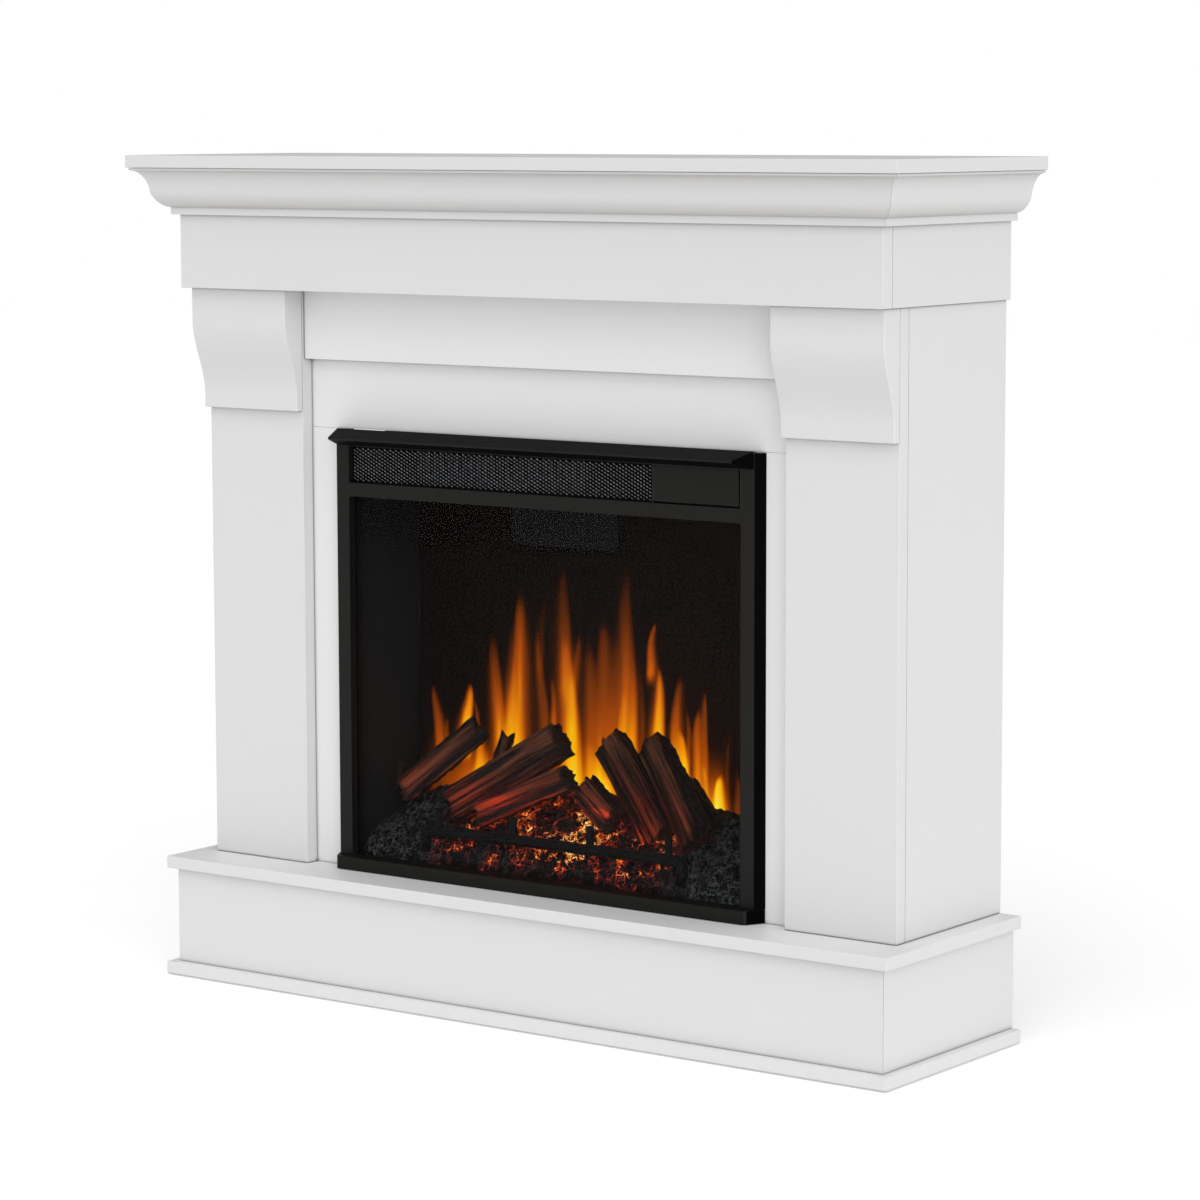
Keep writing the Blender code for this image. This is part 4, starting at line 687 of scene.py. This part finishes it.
def build_ember_bed():
    """The bed's crust: big and small lumps over its mean top, with its heat and ash at each point."""
    x = np.linspace(-BED_HALF, BED_HALF, BED_COLUMNS)
    run = np.linspace(0, 1, BED_ROWS) ** 1.7
    reach = BED_FRONT_REACH - 0.0008 - run * (BED_FRONT_REACH - BED_BACK_REACH - 0.0012)
    grid_x, grid_reach = np.meshgrid(x, reach)
    grid_x, grid_reach = grid_x.ravel(), grid_reach.ravel()
    z = bed_height(grid_x, grid_reach)
    top = np.stack([grid_x, at_reach(grid_reach), z], axis=1)
    nearest, border, owner = cracks(top * BIG_CELLS, 3)
    small_near, small_border, _ = cracks(top * SMALL_CELLS, 8)
    lump = 0.0052 * (0.75 - nearest) * (0.5 + owner) + 0.0012 * (0.6 - small_near)
    lump += 0.0010 * fractal(top * 300, 3, 4)
    run = np.repeat(run, BED_COLUMNS)
    run_in = smoothstep(0.0, 0.10, run)
    sides = smoothstep(BED_HALF, BED_HALF - 0.006, np.abs(grid_x))
    top[:, 2] += lump * run_in
    top[:, 1] -= 0.6 * lump * run_in * smoothstep(0.5, 0.1, run)
    top[:, 1] = top[:, 1].clip(BED_LOW.y, BED_HIGH.y)
    heat = bed_heat(top, border)
    heat = np.maximum(heat, 0.8 * heat * np.exp(-small_border / 0.12))
    ash = 0.25 + 0.75 * smoothstep(0.15, 0.21, np.abs(grid_x)) * sides
    edge, walls = skirt(BED_ROWS, BED_COLUMNS)
    rim = top[edge].copy()
    rim[:, 2] = BED_LOW.z
    cold = np.zeros(len(edge))
    points, faces = np.concatenate([top, rim]), grid_faces(BED_ROWS, BED_COLUMNS) + walls
    values = {"glow_light": np.concatenate([heat, cold]), "ash": np.concatenate([ash, cold])}
    piece("ember_crust", points, faces, EMBERS, "embers", replaces=["ember_bed"], attributes=values)


def lump_points(size, seed):
    """A broken lump: a ball pushed in and out by noise, with flat chips."""
    bm = bmesh.new()
    bmesh.ops.create_icosphere(bm, subdivisions=2, radius=1.0)
    points = np.array([v.co for v in bm.verts])
    faces = [tuple(v.index for v in f.verts) for f in bm.faces]
    bm.free()
    nearest, _, owner = cracks(points * 1.3 + seed * 3.7, seed)
    points *= (0.74 + 0.30 * owner - 0.16 * nearest + 0.10 * fractal(points * 2.5 + seed, 3, seed))[:, None]
    return points * size, faces


def build_charcoal():
    """Loose lumps along the front of the bed and heaped at both ends."""
    draw = random.Random(41)
    points, faces, heat, ash = [], [], [], []
    first = 0
    for index in range(LUMPS):
        at_end = index % 5 < 3
        side = -1 if draw.random() < 0.5 else 1
        x = side * draw.uniform(0.185, 0.252) if at_end else draw.uniform(-0.225, 0.225)
        reach = BED_FRONT_REACH - 0.006 - abs(draw.gauss(0, 0.020 if at_end else 0.012))
        size = draw.uniform(0.0028, 0.0058 if at_end else 0.0050)
        splinter = at_end and draw.random() < 0.75
        shape, skin = lump_points(size, index)
        angle = draw.uniform(0, 6.28)
        turn = Matrix.Rotation(angle, 3, Vector((draw.random(), draw.random(), 1)).normalized())
        stretch = np.array([draw.uniform(0.8, 1.6), draw.uniform(0.7, 1.1), draw.uniform(0.6, 1.0)])
        if splinter:
            stretch = np.array([draw.uniform(1.5, 2.6), draw.uniform(0.25, 0.45), draw.uniform(0.20, 0.40)])
            turn = turn @ Matrix.Rotation(draw.uniform(-0.9, 0.9), 3, "Y")
        shape = (shape * stretch) @ np.array(turn).T
        z = float(bed_height(np.array([x]), np.array([reach]))[0])
        shape += [x, at_reach(reach), z + size * 0.25]
        shape[:, 1] = shape[:, 1].clip(BED_LOW.y + 0.0002, BED_HIGH.y)
        shape[:, 0] = shape[:, 0].clip(-BED_HALF + 0.0005, BED_HALF - 0.0005)
        shape[:, 2] = shape[:, 2].clip(BED_LOW.z + 0.003, 1)
        _, border, _ = cracks(shape * SMALL_CELLS, 8)
        own = bed_heat(shape, border) * 0.8
        under = smoothstep(0.4, -0.8, (shape[:, 2] - z) / size)
        points.append(shape)
        faces += [tuple(v + first for v in face) for face in skin]
        heat.append(own * (0.25 + 0.9 * under))
        ash.append(np.full(len(shape), 0.35 + 0.65 * float(smoothstep(0.15, 0.21, abs(x)))))
        first += len(shape)
    values = {"glow_light": np.concatenate(heat), "ash": np.concatenate(ash)}
    piece("charcoal_lumps", np.concatenate(points), faces, EMBERS, "embers", attributes=values)


# ---------------------------------------------------------------- the logs
def section(angles, corners):
    """How far a section with these corners (degrees, share of the radius) reaches at each angle."""
    found = np.zeros(len(angles))
    marks = sorted(corners)
    for (first, near), (second, far) in zip(marks, marks[1:] + [(marks[0][0] + 360, marks[0][1])]):
        a, b = math.radians(first), math.radians(second)
        p = np.array([near * math.cos(a), near * math.sin(a)])
        q = np.array([far * math.cos(b), far * math.sin(b)])
        side = q - p
        turned = (angles - a) % (2 * math.pi)
        inside = turned < (b - a)
        bottom = np.cos(angles) * side[1] - np.sin(angles) * side[0]
        reach = (p[0] * side[1] - p[1] * side[0]) / np.where(np.abs(bottom) < 1e-9, 1e-9, bottom)
        found = np.where(inside, reach, found)
    return found


SPLIT = ((58, 1.10), (122, 0.98), (190, 0.95), (262, 0.92), (312, 1.05))
ROUND = ((20, 1.0), (65, 1.02), (118, 0.98), (175, 1.0), (230, 0.95), (290, 1.0), (340, 1.02))


# Points round a log, and the gap between its rings.
AROUND = 110
RING_GAP = 0.0013


def log_frame(start, end):
    """The frame of a log between two places, each given as x, reach and height, and its length."""
    first = Vector((start[0], at_reach(start[1]), start[2]))
    last = Vector((end[0], at_reach(end[1]), end[2]))
    along = (last - first).normalized()
    front = along.cross(Vector((0, 0, 1))).normalized()
    if front.y > 0:
        front = -front
    up = (Vector((0, 0, 1)) - along * along.z).normalized()
    matrix = Matrix.Translation(first) @ Matrix((along, front, up)).transposed().to_4x4()
    return matrix, (last - first).length


def log_skin(length, radius, seed, corners, turn):
    """Rings of points along a log, with its grain, and how far each point is bark."""
    rings = max(30, int(length / RING_GAP))
    turns = np.linspace(0, 2 * math.pi, AROUND, endpoint=False)
    share, angle = np.meshgrid(np.linspace(0, 1, rings), turns, indexing="ij")
    share, angle = share.ravel(), angle.ravel()
    twist = math.radians(turn) + 0.10 * np.sin(share * 2.3 + seed)
    ring = section((angle - twist) % (2 * math.pi), corners).reshape(rings, AROUND)
    for _ in range(2):
        ring = (ring + np.roll(ring, 1, 1) + np.roll(ring, -1, 1)) / 3
    size = radius * ring.ravel() * (1 - 0.05 * share)
    s = share * length
    unit = np.stack([s, size * np.cos(angle), size * np.sin(angle)], axis=1)
    flutes = fractal(unit * np.array([9, 190, 190]) + seed * 11, 3, seed)
    ridge = -np.abs(noise(unit * np.array([7, 120, 120]) + seed * 5, seed + 9))
    facing = np.cos(angle - twist - math.radians(5))
    bark = smoothstep(0.50, 0.38, facing + 0.22 * noise(unit * np.array([45, 70, 70]) + seed, seed + 3))
    rough = fractal(unit * 170 + seed * 2, 3, seed + 5)
    knots = noise(unit * np.array([26, 40, 40]) + seed * 3, seed + 15)
    size = size * (1 + 0.06 * knots) + 0.0009 * flutes
    size += 0.0026 * ridge * (1 - 0.5 * bark) + 0.0015 * rough * bark
    bend = 0.0022 * np.sin(share * math.pi) * math.sin(seed * 1.3)
    around = np.stack([np.cos(angle), np.sin(angle), share * 0], axis=1)
    chip = 0.0055 * noise(around * 2.2 + [0, 0, seed], seed + 7)
    chip += 0.0024 * noise(around * 7 + [0, 0, seed], seed + 8)
    s = s + chip * (2 * share - 1)
    return np.stack([s, size * np.cos(angle) + bend, size * np.sin(angle)], axis=1), bark


def log_caps(skin, seed):
    """The dented ends of a log: their points, and faces that close the first and the last ring."""
    count = len(skin)
    caps, faces = [], []
    for outward, ring_start in ((-1, 0), (1, count - AROUND)):
        rim = skin[ring_start : ring_start + AROUND]
        middle = rim.mean(axis=0)
        previous = ring_start
        for level in (0.8, 0.6, 0.4, 0.2):
            inner = middle + (rim - middle) * level
            dent = 0.0011 * fractal(inner * 260 + seed, 3, seed + 11) - 0.0012 * (1 - level)
            inner[:, 0] += dent * outward
            offset = count + len(caps)
            caps += list(inner)
            for c in range(AROUND):
                after = (c + 1) % AROUND
                faces.append((previous + c, previous + after, offset + after, offset + c))
            previous = offset
        hub = count + len(caps)
        caps.append(middle - [0.0014 * outward, 0, 0])
        faces += [(previous + c, previous + (c + 1) % AROUND, hub) for c in range(AROUND)]
    return np.array(caps), faces


def build_log(name, start, end, radius, seed, corners=SPLIT, turn=0.0, heat=1.0, replaces=(), burnt=0.0):
    """A log from its low end to its high end, burnt at its ends, with the bed's glow painted on as a red tint
    and emission where it sits low and meets the bed.
    """
    matrix, length = log_frame(start, end)
    skin, bark = log_skin(length, radius, seed, corners, turn)
    caps, cap_faces = log_caps(skin, seed)
    faces = grid_faces(len(skin) // AROUND, AROUND, True) + cap_faces
    points = np.concatenate([skin, caps])
    on_cap = np.concatenate([np.zeros(len(skin)), np.ones(len(caps))])
    world = points @ np.array(matrix.to_3x3()).T + np.array(matrix.translation)
    patch = 0.5 + 0.5 * noise(world * 40, seed + 13)
    share = points[:, 0] / length
    end_char = np.maximum(smoothstep(0.055, 0.0, share), smoothstep(0.945, 1.0, share))
    char = np.concatenate([bark, np.zeros(len(caps))])
    char = np.maximum(np.maximum(char, on_cap * 0.92), end_char * (0.6 + 0.4 * patch))
    char = np.maximum(char, burnt)
    # Painted light from the bed: a red tint on the lower wood and emission near the bed's top, where the
    # bed's glow falls.
    low = smoothstep(0.285, 0.215, world[:, 2] + 0.006 * noise(world * 60, seed + 2))
    near = smoothstep(0.020, 0.0, world[:, 2] - bed_height(world[:, 0], WALL_Y - world[:, 1]) - 0.004)
    red = (0.70 * low * (0.45 + 0.55 * patch) * heat).clip(0, 1)
    glow = ((0.22 * low + 0.45 * near) * heat * (0.55 + 0.6 * patch)).clip(0, 1) * (1 - 0.75 * char)
    glow = np.maximum(glow, 0.5 * near * char * heat * smoothstep(0.55, 0.9, patch))
    values = {"char": char.clip(0, 1), "painted_red_glow": red * (1 - on_cap), "glow_light": glow}
    piece(name, points, faces, LOG, "log_resin", replaces, attributes=values, matrix=matrix)


# Each split log: the node it replaces, its piece, its low and high ends, radius, seed, turn and heat, which
# scales the bed's glow painted onto it.
SPLIT_LOGS = (
    ("log_back_left", "back_left", (-0.2440, 0.138, 0.2234), (-0.1620, 0.104, 0.2981), 0.0182, 3, 8, 0.7),
    ("log_centre", "centre", (-0.1600, 0.155, 0.2150), (-0.0339, 0.118, 0.2976), 0.0252, 5, 0, 0.9),
    ("log_front", "front", (-0.1110, 0.172, 0.2130), (0.0019, 0.155, 0.2649), 0.0170, 7, -6, 1.3),
    ("log_split", "short", (0.0800, 0.174, 0.2262), (0.0318, 0.162, 0.2565), 0.0185, 11, 4, 1.3),
    ("log_right_centre", "right_centre", (0.129, 0.150, 0.203), (0.0235, 0.104, 0.2992), 0.0242, 13, 10, 1.0),
    ("log_right", "right", (0.1810, 0.156, 0.2110), (0.0807, 0.100, 0.3011), 0.0222, 17, 6, 0.6),
)
# Small round wood that the photo shows moulded into the bed: ends, radius, seed, heat and how burnt.
# Their heat too scales the bed's glow painted onto the wood.
ROUND_WOOD = (
    ("charred_branch", (0.1960, 0.122, 0.1960), (0.1240, 0.092, 0.2590), 0.0125, 19, 0.2, 0.95),
    ("wood_stub", (-0.1390, 0.100, 0.2500), (-0.1300, 0.092, 0.2930), 0.0105, 23, 0.4, 0.4),
    ("twig", (-0.2560, 0.140, 0.2250), (-0.2530, 0.136, 0.2560), 0.0050, 29, 0.1, 0.8),
)


def build_logs():
    for node, name, start, end, radius, seed, turn, heat in SPLIT_LOGS:
        build_log("split_log_" + name, start, end, radius, seed, turn=turn, heat=heat, replaces=[node])
    for name, start, end, radius, seed, heat, burnt in ROUND_WOOD:
        build_log(name, start, end, radius, seed, ROUND, heat=heat, burnt=burnt)


# ---------------------------------------------------------------- the vent mesh
STRAND_WIDE, STRAND_TALL = 0.0040, 0.0020
RIM = 0.0012
BAR_CORNERS = ((1, 1), (-1, 1), (-1, -1), (1, -1))
BAR_FACES = ((0, 1, 2, 3), (7, 6, 5, 4), (0, 4, 5, 1), (1, 5, 6, 2), (2, 6, 7, 3), (3, 7, 4, 0))


def build_vent_mesh():
    """Expanded steel mesh: slanting strands tilted as the sheet was drawn open, over a narrow flat rim."""
    low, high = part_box("vent_grille")
    y = low.y + 0.0006
    points, faces, pale_tone = [], [], []

    def bar(a, b, half, thick, tilt, pale_share=0.0):
        direction = (b - a).normalized()
        side = direction.cross(Vector((0, 1, 0))).normalized()
        out = Vector((0, -1, 0))
        wide = (side * math.cos(tilt) + out * math.sin(tilt)) * half
        deep = (out * math.cos(tilt) - side * math.sin(tilt)) * thick
        start = len(points)
        for end in (a, b):
            for s, d in BAR_CORNERS:
                points.append(tuple(end + wide * s + deep * d))
                pale_tone.append(pale_share)
        faces.extend(tuple(start + i for i in face) for face in BAR_FACES)

    columns = int((high.x - low.x - 2 * RIM) / STRAND_WIDE)
    rows = int((high.z - low.z - 2 * RIM) / STRAND_TALL)
    for column in range(columns):
        for row in range(rows):
            a = Vector((low.x + RIM + column * STRAND_WIDE, y, low.z + RIM + row * STRAND_TALL))
            if (column + row) % 2 == 0:
                bar(a, a + Vector((STRAND_WIDE, 0, STRAND_TALL)), 0.00042, 0.00022, -0.6)
            else:
                a.z += STRAND_TALL
                drop = Vector((STRAND_WIDE, 0, -STRAND_TALL))
                bar(a, a + drop, 0.00042, 0.00022, 0.62)
                # A pale grey band on the middle of each falling strand.
                bar(a + drop * 0.18, a + drop * 0.78, 0.00058, 0.00032, 0.62, 1.0)
    half = 0.0007
    for z in (low.z + half, high.z - half):
        bar(Vector((low.x, y, z)), Vector((high.x, y, z)), half, 0.0004, 0.0)
    for x in (low.x + half, high.x - half):
        bar(Vector((x, y, low.z)), Vector((x, y, high.z)), half, 0.0004, 0.0)
    made = {"replaces": ["vent_grille"], "attributes": {"pale_tone": pale_tone}, "smooth": False}
    piece("vent_mesh", points, faces, MESH_STEEL, "vent_mesh", **made)


# ---------------------------------------------------------------- the cast grate
GRATE_BAR = 0.0100
GRATE_TOP = 0.1970
GRATE_BEND = 0.009
GRATE_LEG = 0.026
PRONG_SPACING = 0.1067
CAST_BAR, CAST_PRONG = 0.0064, 0.0047


def grate_runs():
    """The lines that the castings follow, each with its radius: the bar with its legs, then the prongs."""
    low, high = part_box("grate")
    y = (low.y + high.y) / 2
    centre_z = GRATE_TOP - GRATE_BAR / 2
    half = high.x - GRATE_BAR / 2
    straight = half - GRATE_BEND
    route = [Vector((half, y, centre_z - GRATE_LEG)), Vector((half, y, centre_z - 0.010))]
    for step in range(7):
        angle = math.pi / 12 * step
        bent_x = straight + GRATE_BEND * math.cos(angle)
        route.append(Vector((bent_x, y, centre_z - GRATE_BEND + GRATE_BEND * math.sin(angle))))
    across = 90
    middle = [Vector((straight * (1 - 2 * step / across), y, centre_z)) for step in range(1, across)]
    runs = [(route + middle + [Vector((-p.x, p.y, p.z)) for p in reversed(route)], CAST_BAR)]
    tall = high.z + 0.001 - centre_z
    for number in range(4):
        x = PRONG_SPACING * (number - 1.5)
        runs.append(([Vector((x, y, centre_z + tall * step / 8)) for step in range(9)], CAST_PRONG))
    return runs


def build_grate():
    """The bar and its prongs as rough castings, a little thicker than they are drawn."""
    around = 14
    deep = Vector((0, 1, 0))
    points, faces = [], []
    for path, radius in grate_runs():
        first = len(points)
        for index, place in enumerate(path):
            ahead = (path[min(index + 1, len(path) - 1)] - path[max(index - 1, 0)]).normalized()
            side = ahead.cross(deep).normalized()
            for corner in range(around):
                angle = 2 * math.pi * corner / around
                points.append(place + (side * math.cos(angle) + deep * math.sin(angle)) * radius)
        faces += [tuple(first + v for v in face) for face in grid_faces(len(path), around, True)]
        faces.append(tuple(first + v for v in range(around)))
        faces.append(tuple(first + (len(path) - 1) * around + v for v in reversed(range(around))))
    points = np.array([tuple(v) for v in points])
    points[:, 2] += 0.0009 * noise(points * 45, 71)
    points += 0.0005 * noise(points * 210, 72)[:, None] * np.array([0, 1, 1])
    piece("cast_grate", points, faces, GRATE_BLACK, "grate_black", replaces=["grate"])


build_flame_picture()
build_grate()
build_ember_bed()
build_charcoal()
build_logs()
build_vent_mesh()


# ---------------------------------------------------------------- studio
FLOOR_REACH = 12.0
FLOOR_Z = -0.0014


def build_floor():
    """A wide pale floor, lit enough to run out to white."""
    mesh = bpy.data.meshes.new("studio_floor")
    corners = [(x * FLOOR_REACH, y * FLOOR_REACH, FLOOR_Z) for x, y in ((-1, -1), (1, -1), (1, 1), (-1, 1))]
    mesh.from_pydata(corners, [], [(0, 1, 2, 3)])
    floor = bpy.data.objects.new("studio_floor", mesh)
    bpy.context.scene.collection.objects.link(floor)
    p = Paint("studio_floor", Roughness=0.9, Specular_IOR_Level=0.0)
    p.use(Base_Color=(0.80, 0.80, 0.80, 1), Emission_Color=(1, 1, 1, 1), Emission_Strength=0.42)
    mesh.materials.append(p.material)


def build_world():
    """Even white light, with less of it for reflections, so that black paint stays black."""
    world = bpy.data.worlds.new("studio")
    bpy.context.scene.world = world
    world.use_nodes = True
    tree = world.node_tree
    tree.nodes.clear()
    paths = tree.nodes.new("ShaderNodeLightPath")

    def white(strength):
        made = tree.nodes.new("ShaderNodeBackground")
        made.inputs[0].default_value = (1, 1, 1, 1)
        made.inputs[1].default_value = strength
        return made.outputs[0]

    def for_rays(kind, others, these):
        made = tree.nodes.new("ShaderNodeMixShader")
        for socket, value in zip(made.inputs, (paths.outputs[kind], others, these)):
            tree.links.new(value, socket)
        return made.outputs[0]

    lit = for_rays("Is Glossy Ray", white(0.38), white(0.22))
    seen = for_rays("Is Camera Ray", lit, white(1.0))
    tree.links.new(seen, tree.nodes.new("ShaderNodeOutputWorld").inputs[0])


def area_light(name, place, target, size, power, colour):
    """A lamp with a rectangular face, turned towards its target."""
    lamp = bpy.data.lights.new(name, "AREA")
    lamp.shape = "RECTANGLE"
    lamp.size, lamp.size_y = size
    lamp.energy = power
    lamp.color = colour
    made = bpy.data.objects.new(name, lamp)
    bpy.context.scene.collection.objects.link(made)
    made.location = place
    made.rotation_euler = (Vector(target) - Vector(place)).to_track_quat("-Z", "Y").to_euler()


def sun_light(name, towards, spread, strength):
    """A far softbox in the given direction."""
    lamp = bpy.data.lights.new(name, "SUN")
    lamp.angle = math.radians(spread)
    lamp.energy = strength
    lamp.specular_factor = 0.35
    made = bpy.data.objects.new(name, lamp)
    bpy.context.scene.collection.objects.link(made)
    made.rotation_euler = Vector(towards).to_track_quat("Z", "Y").to_euler()


# The camera that fits the photo: its place, lens in mm, and how it is turned.
CAMERA_PLACE = (2.63608, -3.54576, 0.999074)
CAMERA_LENS = 119.981
CAMERA_YAW = math.radians(36.177)
CAMERA_PITCH = math.radians(6.913)
CAMERA_ROLL = -0.0024349


def build_camera():
    """A level camera first turned by its yaw and pitch, then rolled."""
    camera = bpy.data.cameras.new("camera")
    camera.sensor_width = 36.0
    camera.lens = CAMERA_LENS
    camera.clip_end = 60.0
    made = bpy.data.objects.new("camera", camera)
    bpy.context.scene.collection.objects.link(made)
    level = Vector((math.cos(CAMERA_YAW), math.sin(CAMERA_YAW), 0))
    forward = Vector((-math.sin(CAMERA_YAW), math.cos(CAMERA_YAW), 0))
    ahead = forward * math.cos(CAMERA_PITCH) - Vector((0, 0, math.sin(CAMERA_PITCH)))
    upward = level.cross(ahead)
    right = level * math.cos(CAMERA_ROLL) + upward * math.sin(CAMERA_ROLL)
    above = upward * math.cos(CAMERA_ROLL) - level * math.sin(CAMERA_ROLL)
    turned = Matrix((right, above, -ahead)).transposed().to_4x4()
    made.matrix_world = Matrix.Translation(CAMERA_PLACE) @ turned
    bpy.context.scene.camera = made


build_floor()
build_world()
build_camera()
sun_light("front_softbox", (0.50, -0.82, 0.28), 50.0, 0.87)
sun_light("side_softbox", (0.92, -0.25, 0.30), 60.0, 1.06)
sun_light("top_softbox", (0.15, -0.50, 0.85), 45.0, 0.80)
GLOW_PLACE, GLOW_TARGET = (0, at_reach(0.186), 0.235), (0, at_reach(0.12), 0.200)
area_light("ember_glow", GLOW_PLACE, GLOW_TARGET, (0.30, 0.01), 0.028, (1.0, 0.25, 0.08))
scene = bpy.context.scene
scene.view_settings.view_transform = "Standard"
scene.view_settings.look = "None"
